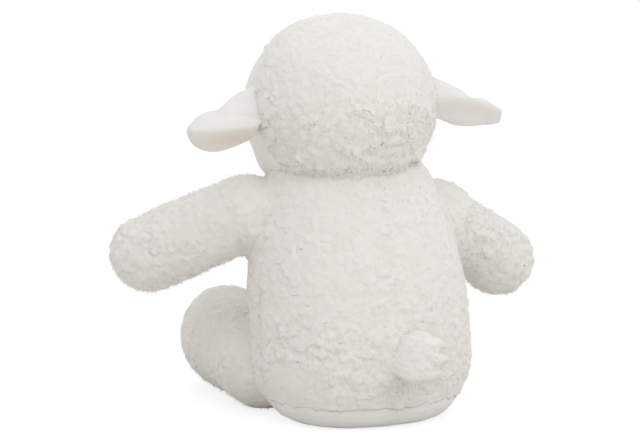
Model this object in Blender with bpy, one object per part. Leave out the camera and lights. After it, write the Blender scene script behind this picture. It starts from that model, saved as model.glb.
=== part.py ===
"""Plush sheep, sitting: sewn wool and velour panels over fibre stuffing, with limbs that turn in their seams.

Metres, +Z up. The origin is on the floor, at the middle of the flat seat. The sheep faces -Y, its left is +X.
Every limb ends in a ball in a socket of the torso, so that it turns as a stuffed limb does on its seam.
"""

import math

import bmesh
import bpy
import numpy as np
from mathutils import Matrix, Vector
from mathutils.bvhtree import BVHTree

LEFT, RIGHT = 1, -1
SIDE_NAMES = {LEFT: "left", RIGHT: "right"}

# Clearances and fabrics
SEAM_GAP = 0.0003  # between two sewn panels, and between a panel and what fills it
BALL_GAP = 0.0006  # between a limb's ball and its socket, and between the head and its bowl
OVERRUN = 0.020  # how far a cutter runs past what it cuts
WOOL = 0.0040  # curly wool fabric with its pile pressed flat
VELOUR = 0.0020  # one layer of short-pile fabric

# Torso: a pear that stands on a flat seat, its upper part leaning forwards and a little to its left
TORSO_HEIGHT = 0.190
TORSO_HALF_WIDTH = 0.0785
TORSO_HALF_DEPTH = 0.064
LEAN_FORWARD = 0.016
LEAN_LEFT = 0.006
BASE_SEAM_HEIGHT = 0.013  # the seam between the seat panel and the panels above it
SIDE_SEAM_BACK = 0.004  # the side seams lie this far behind the middle of the torso
TORSO_ROUNDNESS = 2.2  # exponent of the superellipse that each section is
# height share, half-width share, half-depth share, lean share
TORSO_SHARES = (
    (0.000, 0.640, 0.640, 0.00),
    (0.014, 0.755, 0.750, 0.00),
    (0.050, 0.855, 0.850, 0.00),
    (0.115, 0.940, 0.940, 0.02),
    (0.210, 0.990, 0.990, 0.08),
    (0.330, 1.000, 1.000, 0.20),
    (0.455, 0.990, 0.985, 0.35),
    (0.575, 0.965, 0.945, 0.50),
    (0.690, 0.910, 0.885, 0.65),
    (0.795, 0.830, 0.815, 0.78),
    (0.885, 0.735, 0.725, 0.88),
    (0.950, 0.600, 0.600, 0.95),
    (0.988, 0.380, 0.380, 1.00),
)

# Weight in the seat: a pouch of pellets that lies on the seat panel
POUCH_HALF_WIDTH = 0.040
POUCH_HALF_DEPTH = 0.024
POUCH_BACK = 0.011
POUCH_HEIGHT = 0.022
POUCH_SHARES = ((0.00, 0.86), (0.16, 0.97), (0.42, 1.00), (0.72, 0.86), (0.93, 0.50))

# Head: a ball with a flattened crown and a muzzle, which nods and turns about its own middle
HEAD_RADIUS = 0.0665
HEAD_HEIGHT = 0.2165
CROWN_DROP = 0.0025
HEAD_FORWARD = 0.018
HEAD_LEFT = 0.011
MUZZLE_OUT = 0.0150
MUZZLE_SPREAD = math.radians(34)
MUZZLE_BELOW = math.radians(3)  # the muzzle points this far below the horizontal
CHEEK_OUT = 0.0065
CHEEK_SPREAD = math.radians(25)
CHEEK_SIDE = math.radians(61)
CHEEK_BELOW = math.radians(8)
FACE_SEAM_BACK = 0.0120  # the face seam crosses the head's axis this far behind its middle
FACE_SEAM_LEAN = math.radians(17)  # and leans this far forwards as it rises
FOREHEAD_SEAM = 0.0300  # the wool ends this high on the forehead, seen from the head's middle
FOREHEAD_LEAN = math.radians(15)  # and this seam rises towards the back
NECK_OPENING = 0.0240

# Neck wad: a firm roll between the torso's filling and the head, which turns with the head
NECK_WAD_RADIUS = 0.0200
NECK_WAD_LENGTH = 0.0260

# Eyes: a dome with a stem that a washer holds behind the fabric
EYE_RADIUS = 0.0055
EYE_HEIGHT = 0.0038
EYE_FLANGE = 0.0010
EYE_SINK = 0.0012  # how far the eye presses into the face
EYE_SIDE = math.radians(33)
EYE_ABOVE = math.radians(9)
STEM_RADIUS = 0.0018
STEM_LENGTH = 0.0085
WASHER_RADIUS = 0.0080
WASHER_THICKNESS = 0.0012
WASHER_ROOM = 0.0016  # the flat washer stays this far behind the curved fabric

# Embroidered nose and mouth
NOSE_HALF_WIDTH = 0.0085
NOSE_HALF_HEIGHT = 0.0052
NOSE_THICKNESS = 0.0014
NOSE_NARROW_SHARE = 0.35  # how much narrower the nose is at its foot
# share of the nose's size, share of its thickness; its foot clears the face's slight ridge
NOSE_SHARES = ((1.0, 0.3), (1.0, 0.6), (0.9, 1.0), (0.5, 1.15))
NOSE_CROWN_SHARE = 1.2
THREAD_RADIUS = 0.0009
MOUTH_DROP = 0.0085
MOUTH_HALF_WIDTH = 0.0100
MOUTH_RISE = 0.0030
MOUTH_KNOTS = 13

# Ears: a folded leaf of two layers, its root a bead in the seam between wool and face
EAR_LENGTH = 0.0510
EAR_HALF_HEIGHT = 0.0160
EAR_FOLD = 0.0095
EAR_DROOP = {LEFT: math.radians(28), RIGHT: math.radians(14)}
EAR_ABOVE = 0.0030
EAR_BEAD_RADIUS = 0.0036
EAR_BEAD_OUT = 0.0022  # the bead's axis stands this far outside the head
EAR_BEAD_HALF = 0.0150
# share of the length, share of the half-height, share of the fold
EAR_SHARES = (
    (0.04, 0.92, 0.05),
    (0.16, 0.98, 0.45),
    (0.32, 1.00, 0.85),
    (0.50, 0.96, 1.00),
    (0.66, 0.86, 0.95),
    (0.80, 0.72, 0.80),
    (0.91, 0.52, 0.60),
    (0.98, 0.26, 0.45),
)

# Arms: held out, forwards and down
ARM_BALL_RADIUS = 0.0262
ARM_REACH = 0.0800  # from the middle of the ball to the middle of the round end
ARM_END_RADIUS = 0.0268
ARM_MIDDLE_RADIUS = 0.0262
ARM_FORWARD = {LEFT: math.radians(34), RIGHT: math.radians(24)}
ARM_DOWN = {LEFT: math.radians(24), RIGHT: math.radians(34)}
ARM_LOWEST = math.radians(-6)
ARM_HIGHEST = math.radians(35)
SHOULDER_SIDE = 0.0730
SHOULDER_FORWARD = 0.0250
SHOULDER_HEIGHT_LEFT = 0.1440
SHOULDER_HEIGHT_RIGHT = 0.1395
SHOULDER_LEAN = 0.0045  # both shoulders lie this far to the left
ROOT_OPENING = 0.0120  # the hole in a limb's skin that it is turned and stuffed through

# Legs: forwards along the floor, with an upright foot and a smooth sole
LEG_BALL_RADIUS = 0.0345
LEG_REACH = 0.0730
FOOT_HALF_HEIGHT = 0.0395
FOOT_HALF_WIDTH = 0.0365
LEG_OUT = math.radians(5)
LEG_INWARD = math.radians(-12)
LEG_OUTWARD = math.radians(20)
HIP_SIDE = 0.0580
HIP_FORWARD = 0.0420
HIP_HEIGHT = 0.0335
FOOT_HEIGHT = 0.0385
SOLE_OUT = 0.0250  # the sole's seam, ahead of the middle of the foot
SOLE_BULGE = 0.0045
# share of the reach, share of the way from the ball's size to the foot's
LEG_SHARES = ((0.30, 0.00), (0.62, 0.42), (1.00, 1.00))
# share of the way to the sole, share of the foot's size
FOOT_SHARES = ((0.55, 0.93), (0.88, 0.80), (1.00, 0.72))

# Tail: a flat tuft sewn into the middle seam of the back, turned to the sheep's right
TAIL_LENGTH = 0.0430
TAIL_HALF_HEIGHT = 0.0165
TAIL_HALF_THICKNESS = 0.0085
TAIL_HEIGHT = 0.0550
TAIL_TURN = math.radians(28)
TAIL_BEAD_RADIUS = 0.0040
TAIL_BEAD_OUT = 0.0029
TAIL_BEAD_HALF = 0.0130
# share of the length, share of the half-height, share of the half-thickness
TAIL_SHARES = (
    (0.00, 0.72, 0.40),
    (0.16, 0.86, 0.70),
    (0.38, 1.00, 1.00),
    (0.62, 0.98, 1.00),
    (0.82, 0.78, 0.80),
    (0.95, 0.46, 0.48),
)

# How finely round shapes are divided, and the step that a surface's slope is read over
NEARBY = 0.02
TORSO_SIDES = 28
HEAD_SIDES = 28
HEAD_RINGS = 13
LIMB_SIDES = 18
ROUND_END_STEPS = 4
SOCKET_SIDES = 26
BOWL_SIDES = 36
SWEEP_STEPS = 5
SMALL_SIDES = 20
LEAF_STEPS = 8
THREAD_SIDES = 8


def clear_scene():
    """Remove whatever the file starts with."""
    for old in list(bpy.data.objects):
        bpy.data.objects.remove(old)


def material(name, colour, roughness, metallic=0.0):
    """A Principled material of one colour."""
    made = bpy.data.materials.new(name)
    made.use_nodes = True
    shader = made.node_tree.nodes["Principled BSDF"]
    shader.inputs["Base Color"].default_value = (*colour, 1.0)
    shader.inputs["Roughness"].default_value = roughness
    shader.inputs["Metallic"].default_value = metallic
    return made


# Meshes, frames and cuts


def mesh_object(name, points, faces, look=None, parent=None):
    """A new object from points and faces, with its faces turned outwards."""
    mesh = bpy.data.meshes.new(name)
    mesh.from_pydata([tuple(map(float, point)) for point in points], [], faces)
    shape = bmesh.new()
    shape.from_mesh(mesh)
    bmesh.ops.recalc_face_normals(shape, faces=shape.faces)
    shape.to_mesh(mesh)
    shape.free()
    made = bpy.data.objects.new(name, mesh)
    bpy.context.scene.collection.objects.link(made)
    made.parent = parent
    if look:
        mesh.materials.append(look)
    return made


def lofted(name, rings, start=None, end=None, **how):
    """Skin over closed rings of equal length. An end is a point, or the flat face of its ring.

    Each side is split along its shorter diagonal, so two layers that lie face to face are split alike.
    """
    count = len(rings[0])
    points = [Vector(point) for ring in rings for point in ring]
    faces = []
    for row in range(len(rings) - 1):
        for side in range(count):
            beside = (side + 1) % count
            low, high = row * count, (row + 1) * count
            a, b, c, d = low + side, low + beside, high + beside, high + side
            if (points[a] - points[c]).length < (points[b] - points[d]).length:
                faces += [(a, b, c), (a, c, d)]
            else:
                faces += [(a, b, d), (b, c, d)]
    for pole, first in ((start, 0), (end, (len(rings) - 1) * count)):
        ring = [first + side for side in range(count)]
        if pole is None:
            faces.append(ring)
            continue
        points.append(pole)
        tip = len(points) - 1
        faces += [(ring[side], ring[(side + 1) % count], tip) for side in range(count)]
    return mesh_object(name, points, faces, **how)


def ellipse(half_a, half_b, sides, roundness=2.0):
    """Points of a superellipse in the plane, as (a, b) pairs."""
    angles = np.arange(sides) * 2 * math.pi / sides
    power = 2.0 / roundness
    across = half_a * np.sign(np.cos(angles)) * np.abs(np.cos(angles)) ** power
    along = half_b * np.sign(np.sin(angles)) * np.abs(np.sin(angles)) ** power
    return list(zip(across, along))


def box(name, low, high, parent=None):
    """A hidden box that other shapes are cut by."""
    corners = [(x, y, z) for x in (low[0], high[0]) for y in (low[1], high[1]) for z in (low[2], high[2])]
    faces = [(0, 1, 3, 2), (4, 6, 7, 5), (0, 4, 5, 1), (2, 3, 7, 6), (0, 2, 6, 4), (1, 5, 7, 3)]
    return as_cutter(mesh_object(name, corners, faces, parent=parent))


def as_cutter(shape):
    """Mark a shape as a cutter, which is no piece of the sheep."""
    shape.hide_render = True
    shape.display_type = "WIRE"
    return shape


def ball(name, centre, radius, sides=BOWL_SIDES):
    """A hidden ball that a socket is cut by. Its poles lie on the vertical."""
    rings = []
    steps = sides // 2
    for step in range(1, steps):
        polar = math.pi * step / steps
        ring = ellipse(radius * math.sin(polar), radius * math.sin(polar), sides)
        rings.append([(a, b, -radius * math.cos(polar)) for a, b in ring])
    made = as_cutter(lofted(name, rings, (0, 0, -radius), (0, 0, radius)))
    made.location = centre
    return made


def swept_room(name, parent, radius, sections, world_axis, turns):
    """A hidden hull of a limb's ball and of its root's sections at every turn: the room that the limb needs.

    The sections are (along, half-width, half-height) in the limb's own frame, whose origin the axis meets.
    """
    axis = parent.matrix_world.to_3x3().inverted() @ world_axis
    shape = bmesh.new()
    for step in range(SOCKET_SIDES // 2 + 1):
        polar = math.pi * step / (SOCKET_SIDES // 2)
        for a, b in ellipse(radius * math.sin(polar), radius * math.sin(polar), SOCKET_SIDES):
            shape.verts.new((a, b, -radius * math.cos(polar)))
    for turn in np.linspace(*turns, SWEEP_STEPS):
        turned_by = Matrix.Rotation(turn, 3, axis)
        for along, half_width, half_height in sections:
            for a, b in ellipse(half_width, half_height, LIMB_SIDES):
                shape.verts.new(turned_by @ Vector((along, a, b)))
    hull = bmesh.ops.convex_hull(shape, input=shape.verts)
    bmesh.ops.delete(shape, geom=hull["geom_interior"], context="VERTS")
    bmesh.ops.recalc_face_normals(shape, faces=shape.faces)
    mesh = bpy.data.meshes.new(name)
    shape.to_mesh(mesh)
    shape.free()
    made = bpy.data.objects.new(name, mesh)
    bpy.context.scene.collection.objects.link(made)
    made.parent = parent
    bpy.context.view_layer.update()
    return as_cutter(made)


def rod(name, frame, radius, half_length, sides=SMALL_SIDES):
    """A hidden round rod along the frame's own Z."""
    rings = [[(a, b, z) for a, b in ellipse(radius, radius, sides)] for z in (-half_length, half_length)]
    made = as_cutter(lofted(name, rings))
    made.matrix_world = frame
    return made


def cut(shape, other, operation="DIFFERENCE"):
    """Cut a shape by another, keep what both share, or join them, and keep the result as the shape's mesh."""
    step = shape.modifiers.new(operation, "BOOLEAN")
    step.operation = operation
    step.object = other
    bpy.context.view_layer.update()
    solved = shape.evaluated_get(bpy.context.evaluated_depsgraph_get())
    result = bpy.data.meshes.new_from_object(solved)
    shape.modifiers.clear()
    shape.data = result
    return shape


def copy_of(shape, name, look=None):
    """A separate piece with the same mesh and place."""
    made = bpy.data.objects.new(name, shape.data.copy())
    made.parent = shape.parent
    made.matrix_basis = shape.matrix_basis.copy()
    bpy.context.scene.collection.objects.link(made)
    if look:
        made.data.materials.clear()
        made.data.materials.append(look)
    return made


def drop(*shapes):
    """Remove shapes that served only to make others."""
    for shape in shapes:
        bpy.data.objects.remove(shape)


def pivot(name, origin, x_axis, z_near, parent=None):
    """An empty on a joint. Its X is x_axis, and its Z is as near z_near as that allows."""
    x_axis = Vector(x_axis).normalized()
    y_axis = Vector(z_near).cross(x_axis).normalized()
    z_axis = x_axis.cross(y_axis)
    made = bpy.data.objects.new(name, None)
    bpy.context.scene.collection.objects.link(made)
    made.parent = parent
    made.matrix_world = Matrix.Translation(origin) @ Matrix((x_axis, y_axis, z_axis)).transposed().to_4x4()
    bpy.context.view_layer.update()
    return made


def shell(outer, inner, name, look):
    """The fabric between an outer and an inner form."""
    return cut(copy_of(outer, name, look), inner)


# Places on the sheep


def head_centre():
    """The middle of the head, which it nods and turns about."""
    return Vector((HEAD_LEFT, -HEAD_FORWARD, HEAD_HEIGHT))


def shoulder(side):
    """The middle of an arm's ball."""
    height = SHOULDER_HEIGHT_LEFT if side == LEFT else SHOULDER_HEIGHT_RIGHT
    return Vector((side * SHOULDER_SIDE + SHOULDER_LEAN, -SHOULDER_FORWARD, height))


def arm_direction(side):
    """The way an arm points from its shoulder."""
    flat = math.cos(ARM_DOWN[side])
    ahead = ARM_FORWARD[side]
    return Vector((side * flat * math.cos(ahead), -flat * math.sin(ahead), -math.sin(ARM_DOWN[side])))


def hip(side):
    """The middle of a leg's ball."""
    return Vector((side * HIP_SIDE, -HIP_FORWARD, HIP_HEIGHT))


def leg_direction(side):
    """The way a leg points from its hip, rising to the middle of the foot."""
    rise = math.asin((FOOT_HEIGHT - HIP_HEIGHT) / LEG_REACH)
    flat = math.cos(rise)
    return Vector((side * flat * math.sin(LEG_OUT), -flat * math.cos(LEG_OUT), math.sin(rise)))


def torso_section(share):
    """The half-width, half-depth and lean of the torso at a share of its height."""
    table = np.array(TORSO_SHARES)
    width, depth, lean = (np.interp(share, table[:, 0], table[:, column]) for column in (1, 2, 3))
    return width * TORSO_HALF_WIDTH, depth * TORSO_HALF_DEPTH, lean


def facing(aside, above):
    """A direction from the head's middle, by its angles from straight ahead."""
    flat = math.cos(above)
    return Vector((flat * math.sin(aside), -flat * math.cos(aside), math.sin(above)))


def head_radius(direction):
    """How far the head's surface lies from its middle: a ball, lower at the crown, with muzzle and cheeks."""
    reach = HEAD_RADIUS - CROWN_DROP * max(direction.z, 0) ** 2
    bumps = [(0, MUZZLE_BELOW, MUZZLE_SPREAD, MUZZLE_OUT)]
    bumps += [(side * CHEEK_SIDE, CHEEK_BELOW, CHEEK_SPREAD, CHEEK_OUT) for side in (LEFT, RIGHT)]
    for aside, below, spread, out in bumps:
        away = min(direction.angle(facing(aside, -below)) / spread, 1)
        reach += out * (1 - away * away) ** 2
    return reach


def head_point(direction, out=0.0):
    """A point on the head in a direction from its middle, or that far outside it."""
    direction = Vector(direction).normalized()
    return direction * (head_radius(direction) + out)


def head_frame(direction, sink):
    """A frame on the head in a direction from its middle, sunk by so much, with its Z out of the surface."""
    direction = Vector(direction).normalized()
    aside = direction.orthogonal().normalized() * NEARBY
    above = direction.cross(aside)
    across = head_point(direction + aside) - head_point(direction - aside)
    normal = across.cross(head_point(direction + above) - head_point(direction - above)).normalized()
    place = Matrix.Translation(head_point(direction) - normal * sink)
    return place @ normal.to_track_quat("Z", "Y").to_matrix().to_4x4()


# Forms


def torso_form(name, inset):
    """The torso's shape, drawn in all round by a fabric's thickness."""
    rings = []
    for height, _, _, _ in TORSO_SHARES:
        half_width, half_depth, lean = torso_section(height)
        z = inset + height * (TORSO_HEIGHT - 2 * inset)
        section = ellipse(half_width - inset, half_depth - inset, TORSO_SIDES, TORSO_ROUNDNESS)
        rings.append([(a + lean * LEAN_LEFT, b - lean * LEAN_FORWARD, z) for a, b in section])
    return lofted(name, rings, end=(LEAN_LEFT, -LEAN_FORWARD, TORSO_HEIGHT - inset))


def head_form(name, inset, parent):
    """The head's shape about its own middle, drawn in all round by a fabric's thickness."""
    rings = []
    for step in range(1, HEAD_RINGS + 1):
        polar = math.pi * step / (HEAD_RINGS + 1)
        unit = ellipse(math.sin(polar), math.sin(polar), HEAD_SIDES)
        rings.append([head_point((a, b, -math.cos(polar)), -inset) for a, b in unit])
    ends = [head_point((0, 0, z), -inset) for z in (-1, 1)]
    return lofted(name, rings, *ends, parent=parent)


def round_end(radius, from_angle, to_angle, steps):
    """Points of an arc as (along, radius) pairs, angles measured from the way along."""
    angles = np.linspace(from_angle, to_angle, steps)
    return [(radius * math.cos(angle), radius * math.sin(angle)) for angle in angles]


def arm_profile(inset):
    """An arm's outline as (along, radius) pairs: a ball, a slimmer middle and a round end."""
    root = round_end(ARM_BALL_RADIUS - inset, math.radians(160), math.radians(90), ROUND_END_STEPS)
    middle = [(ARM_REACH / 2, ARM_MIDDLE_RADIUS - inset)]
    end = round_end(ARM_END_RADIUS - inset, math.radians(90), math.radians(20), ROUND_END_STEPS)
    return root + middle + [(ARM_REACH + along, radius) for along, radius in end]


def arm_form(name, inset, parent):
    """An arm along its own X."""
    rings = []
    for along, radius in arm_profile(inset):
        rings.append([(along, a, b) for a, b in ellipse(radius, radius, LIMB_SIDES)])
    start = (-ARM_BALL_RADIUS + inset, 0, 0)
    return lofted(name, rings, start, (ARM_REACH + ARM_END_RADIUS - inset, 0, 0), parent=parent)


def leg_middle():
    """The share of the reach, the half-width and the half-height of each section between ball and foot."""
    slim = LEG_BALL_RADIUS
    wider, taller = FOOT_HALF_WIDTH - slim, FOOT_HALF_HEIGHT - slim
    return [(reach, slim + way * wider, slim + way * taller) for reach, way in LEG_SHARES]


def leg_form(name, inset, parent):
    """A leg along its own X: a ball, a swelling foot and a nearly flat sole."""
    root = round_end(LEG_BALL_RADIUS - inset, math.radians(160), math.radians(90), ROUND_END_STEPS)
    sections = [(along, radius, radius) for along, radius in root]
    for reach, half_width, half_height in leg_middle():
        sections.append((reach * LEG_REACH, half_width - inset, half_height - inset))
    for way, size in FOOT_SHARES:
        along = LEG_REACH + way * SOLE_OUT
        sections.append((along, size * FOOT_HALF_WIDTH - inset, size * FOOT_HALF_HEIGHT - inset))
    rings = [
        [(along, a, b) for a, b in ellipse(half_width, half_height, LIMB_SIDES)]
        for along, half_width, half_height in sections
    ]
    start = (-LEG_BALL_RADIUS + inset, 0, 0)
    return lofted(name, rings, start, (LEG_REACH + SOLE_OUT + SOLE_BULGE - inset, 0, 0), parent=parent)


def turned(name, profile, sides, **how):
    """A solid turned about Z from (radius, height) pairs, the first at its foot. Both ends are flat."""
    rings = [[(a, b, height) for a, b in ellipse(radius, radius, sides)] for radius, height in profile]
    return lofted(name, rings, **how)


# Torso


def build_torso(looks):
    """The four fabric panels, the filling and the pellet pouch of the torso."""
    outer = as_cutter(torso_form("torso_outer", 0))
    inner = as_cutter(torso_form("torso_inner", WOOL))
    skin = as_cutter(shell(outer, inner, "torso_skin", looks["wool"]))
    reach = TORSO_HALF_WIDTH + OVERRUN
    top = TORSO_HEIGHT + OVERRUN
    seam = SEAM_GAP / 2
    side_y = SIDE_SEAM_BACK
    regions = {
        "torso_back_left": ((seam, side_y + seam, BASE_SEAM_HEIGHT + seam), (reach, reach, top)),
        "torso_back_right": ((-reach, side_y + seam, BASE_SEAM_HEIGHT + seam), (-seam, reach, top)),
        "torso_front": ((-reach, -reach, BASE_SEAM_HEIGHT + seam), (reach, side_y - seam, top)),
        "torso_seat": ((-reach, -reach, -OVERRUN), (reach, reach, BASE_SEAM_HEIGHT - seam)),
    }
    panels = []
    for name, (low, high) in regions.items():
        region = box(name + "_region", low, high)
        look = looks["velour"] if name == "torso_seat" else looks["wool"]
        panels.append(cut(copy_of(skin, name, look), region, "INTERSECT"))
        drop(region)
    filling = torso_form("torso_stuffing", WOOL + SEAM_GAP)
    filling.data.materials.append(looks["stuffing"])

    lowest = WOOL + SEAM_GAP
    pouch = pouch_form("pellet_pouch", 0, lowest, looks["cotton"])
    room = as_cutter(pouch_form("pouch_room", SEAM_GAP, lowest - OVERRUN, None))
    cut(filling, room)
    drop(outer, inner, skin, room)
    return panels + [filling], pouch


def pouch_form(name, swell, foot, look):
    """A low bag of pellets, standing on foot. A swollen one is the room that it needs."""
    lowest = WOOL + SEAM_GAP
    rings = []
    for share, size in POUCH_SHARES:
        z = lowest + share * POUCH_HEIGHT
        section = ellipse(size * POUCH_HALF_WIDTH + swell, size * POUCH_HALF_DEPTH + swell, TORSO_SIDES)
        rings.append([(a, b + POUCH_BACK, z) for a, b in section])
    if foot < lowest:
        rings.insert(0, [(a, b, foot) for a, b, _ in rings[0]])
    return lofted(name, rings, end=(0, POUCH_BACK, lowest + POUCH_HEIGHT + swell), look=look)


def build_neck(torso_pieces, looks):
    """The neck wad, and the bowl and the bore in the torso that hold the head and the wad."""
    centre = head_centre()
    low = -HEAD_RADIUS - NECK_WAD_LENGTH
    rounding = NECK_WAD_RADIUS / 4
    turn = pivot("neck_turn", centre, (1, 0, 0), (0, 0, 1))
    profile = ((NECK_WAD_RADIUS - rounding, low), (NECK_WAD_RADIUS, low + rounding))
    profile += ((NECK_WAD_RADIUS, -HEAD_RADIUS / 2),)
    wad = turned("neck_wad", profile, SMALL_SIDES, look=looks["stuffing"], parent=turn)
    bowl = ball("head_bowl", centre, HEAD_RADIUS + BALL_GAP)
    cut(wad, bowl)
    half_bore = (SEAM_GAP - low) / 2
    bore_frame = Matrix.Translation(centre - Vector((0, 0, half_bore)))
    bore = rod("neck_bore", bore_frame, NECK_WAD_RADIUS + BALL_GAP, half_bore)
    for piece in torso_pieces:
        cut(piece, bowl)
    cut(torso_pieces[-1], bore)
    drop(bowl, bore)
    return turn


# Head


def face_space(name, clear, parent):
    """The space of the face: before the face seam and under the forehead seam, short of both by the same."""
    reach = HEAD_RADIUS + MUZZLE_OUT + OVERRUN
    space = box(name, (clear, -reach, -reach), (reach + FACE_SEAM_BACK, reach, reach), parent=parent)
    turned_by = Matrix.Rotation(FACE_SEAM_LEAN, 4, "X") @ Matrix.Rotation(-math.pi / 2, 4, "Z")
    space.matrix_basis = Matrix.Translation((0, FACE_SEAM_BACK, 0)) @ turned_by
    lowest = -reach - FOREHEAD_SEAM
    below = box(name + "_below", (-reach, -reach, lowest), (reach, reach, -clear), parent=parent)
    front = Matrix.Translation((0, -HEAD_RADIUS, FOREHEAD_SEAM))
    below.matrix_basis = front @ Matrix.Rotation(FOREHEAD_LEAN, 4, "X")
    bpy.context.view_layer.update()
    cut(space, below, "INTERSECT")
    drop(below)
    return space


def build_head(turn, looks):
    """The wool panels, the face and the filling. The pieces come by name, the filling last."""
    nod = pivot("head_nod", head_centre(), (1, 0, 0), (0, 0, 1), turn)
    outer = as_cutter(head_form("head_outer", 0, nod))
    inner = as_cutter(head_form("head_inner", WOOL, nod))
    face_inner = as_cutter(head_form("face_inner", VELOUR, nod))
    within_seam = face_space("within_seam", SEAM_GAP / 2, nod)
    past_seam = face_space("past_seam", -SEAM_GAP / 2, nod)
    reach = HEAD_RADIUS + OVERRUN

    pieces = {}
    for side in (LEFT, RIGHT):
        name = f"head_wool_{SIDE_NAMES[side]}"
        ends = sorted((side * SEAM_GAP / 2, side * reach))
        half = box(name + "_half", (ends[0], -reach, -reach), (ends[1], reach, reach), parent=nod)
        bpy.context.view_layer.update()
        panel = shell(outer, inner, name, looks["wool"])
        cut(panel, past_seam)
        pieces[name] = cut(panel, half, "INTERSECT")
        drop(half)
    face = shell(outer, face_inner, "head_face", looks["velour"])
    pieces["head_face"] = cut(face, within_seam, "INTERSECT")
    foot = nod.matrix_world @ Matrix.Translation((0, 0, -HEAD_RADIUS))
    opening = rod("neck_opening", foot, NECK_OPENING, OVERRUN)
    for piece in pieces.values():
        cut(piece, opening)

    filling = head_form("head_stuffing", WOOL + SEAM_GAP, nod)
    filling.data.materials.append(looks["stuffing"])
    front = as_cutter(head_form("front_filling", VELOUR + SEAM_GAP, nod))
    cut(front, within_seam, "INTERSECT")
    plug = rod("neck_plug", foot, NECK_OPENING - SEAM_GAP, OVERRUN)
    cut(plug, outer, "INTERSECT")
    for part in (front, plug):
        cut(filling, part, "UNION")
    pieces["head_stuffing"] = filling
    drop(outer, inner, face_inner, within_seam, past_seam, opening, front, plug)
    return nod, pieces


def build_eye(side, nod, head_pieces, looks):
    """One eye with its stem, the washer behind the face, and the hole and room for them."""
    frame = head_frame(facing(side * EYE_SIDE, EYE_ABOVE), EYE_SINK)
    name = f"eye_{SIDE_NAMES[side]}"
    dome = [
        (EYE_RADIUS * math.cos(angle), EYE_FLANGE + EYE_HEIGHT * math.sin(angle))
        for angle in np.radians((0, 25, 50, 72))
    ]
    profile = [(STEM_RADIUS, -STEM_LENGTH), (STEM_RADIUS, 0), (EYE_RADIUS, 0)] + dome
    eye = turned(name, profile, SMALL_SIDES, look=looks["eye"], parent=nod)
    eye.matrix_basis = frame

    under = VELOUR - EYE_SINK + WASHER_ROOM
    ring = [(WASHER_RADIUS, -under - WASHER_THICKNESS), (WASHER_RADIUS, -under)]
    washer = turned(f"eye_washer_{SIDE_NAMES[side]}", ring, SMALL_SIDES, look=looks["plastic"], parent=nod)
    washer.matrix_basis = frame
    world = nod.matrix_world @ frame
    hole = rod(name + "_hole", world, STEM_RADIUS + SEAM_GAP, OVERRUN)
    cut(washer, hole)
    above_eye = world @ Matrix.Translation((0, 0, OVERRUN - SEAM_GAP))
    recess = rod(name + "_recess", above_eye, EYE_RADIUS + SEAM_GAP, OVERRUN)
    room_foot = -under - WASHER_THICKNESS - SEAM_GAP
    above_washer = world @ Matrix.Translation((0, 0, room_foot + OVERRUN))
    room = rod(name + "_room", above_washer, WASHER_RADIUS + SEAM_GAP, OVERRUN)
    stem_room = rod(name + "_stem_room", world, STEM_RADIUS + SEAM_GAP, STEM_LENGTH + SEAM_GAP)
    face, filling = head_pieces["head_face"], head_pieces["head_stuffing"]
    cut(face, recess)
    cut(face, stem_room)
    cut(filling, room)
    cut(filling, stem_room)
    drop(hole, recess, room, stem_room)


def build_stitching(face, nod, looks):
    """The embroidered nose, a low pad of satin stitch, and the mouth's curved stitches, on the face."""
    corners = [vertex.co for vertex in face.data.vertices]
    fabric = BVHTree.FromPolygons(corners, [side.vertices for side in face.data.polygons])
    tip = HEAD_RADIUS + MUZZLE_OUT

    def on_muzzle(across, up, out):
        """A point that far outside the fabric, by its distance across and up from the muzzle's tip."""
        way = facing(across / tip, up / tip - MUZZLE_BELOW)
        met = fabric.ray_cast(way * (tip + OVERRUN), -way)[0]
        return met + way * out

    rings = []
    for size, out in NOSE_SHARES:
        ring = []
        for a, b in ellipse(NOSE_HALF_WIDTH * size, NOSE_HALF_HEIGHT * size, SMALL_SIDES):
            width = 1 - NOSE_NARROW_SHARE * (1 - b / NOSE_HALF_HEIGHT) / 2
            ring.append(on_muzzle(a * width, b + NOSE_HALF_HEIGHT, SEAM_GAP + NOSE_THICKNESS * out))
        rings.append(ring)
    outs = (NOSE_SHARES[0][1], NOSE_CROWN_SHARE)
    ends = [on_muzzle(0, NOSE_HALF_HEIGHT, SEAM_GAP + NOSE_THICKNESS * out) for out in outs]
    lofted("nose_stitching", rings, *ends, look=looks["thread"], parent=nod)

    line = []
    for share in np.linspace(-1, 1, MOUTH_KNOTS):
        across = share * MOUTH_HALF_WIDTH
        up = -MOUTH_DROP + MOUTH_RISE * (2 * abs(share) ** 1.5 - 1) + MOUTH_RISE * (1 - abs(share)) ** 4
        line.append(on_muzzle(across, up, SEAM_GAP + THREAD_RADIUS))
    tube_along("mouth_stitching", line, THREAD_RADIUS, looks["thread"], nod)


def tube_along(name, points, radius, look, parent):
    """A thread along points, as a curve with filled ends."""
    curve = bpy.data.curves.new(name, "CURVE")
    curve.dimensions = "3D"
    curve.bevel_depth = radius
    curve.bevel_resolution = (THREAD_SIDES - 4) // 2
    curve.use_fill_caps = True
    spline = curve.splines.new("POLY")
    spline.points.add(len(points) - 1)
    for knot, point in zip(spline.points, points):
        knot.co = (*point, 1)
    made = bpy.data.objects.new(name, curve)
    made.parent = parent
    curve.materials.append(look)
    bpy.context.scene.collection.objects.link(made)
    return made


# Ears


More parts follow.
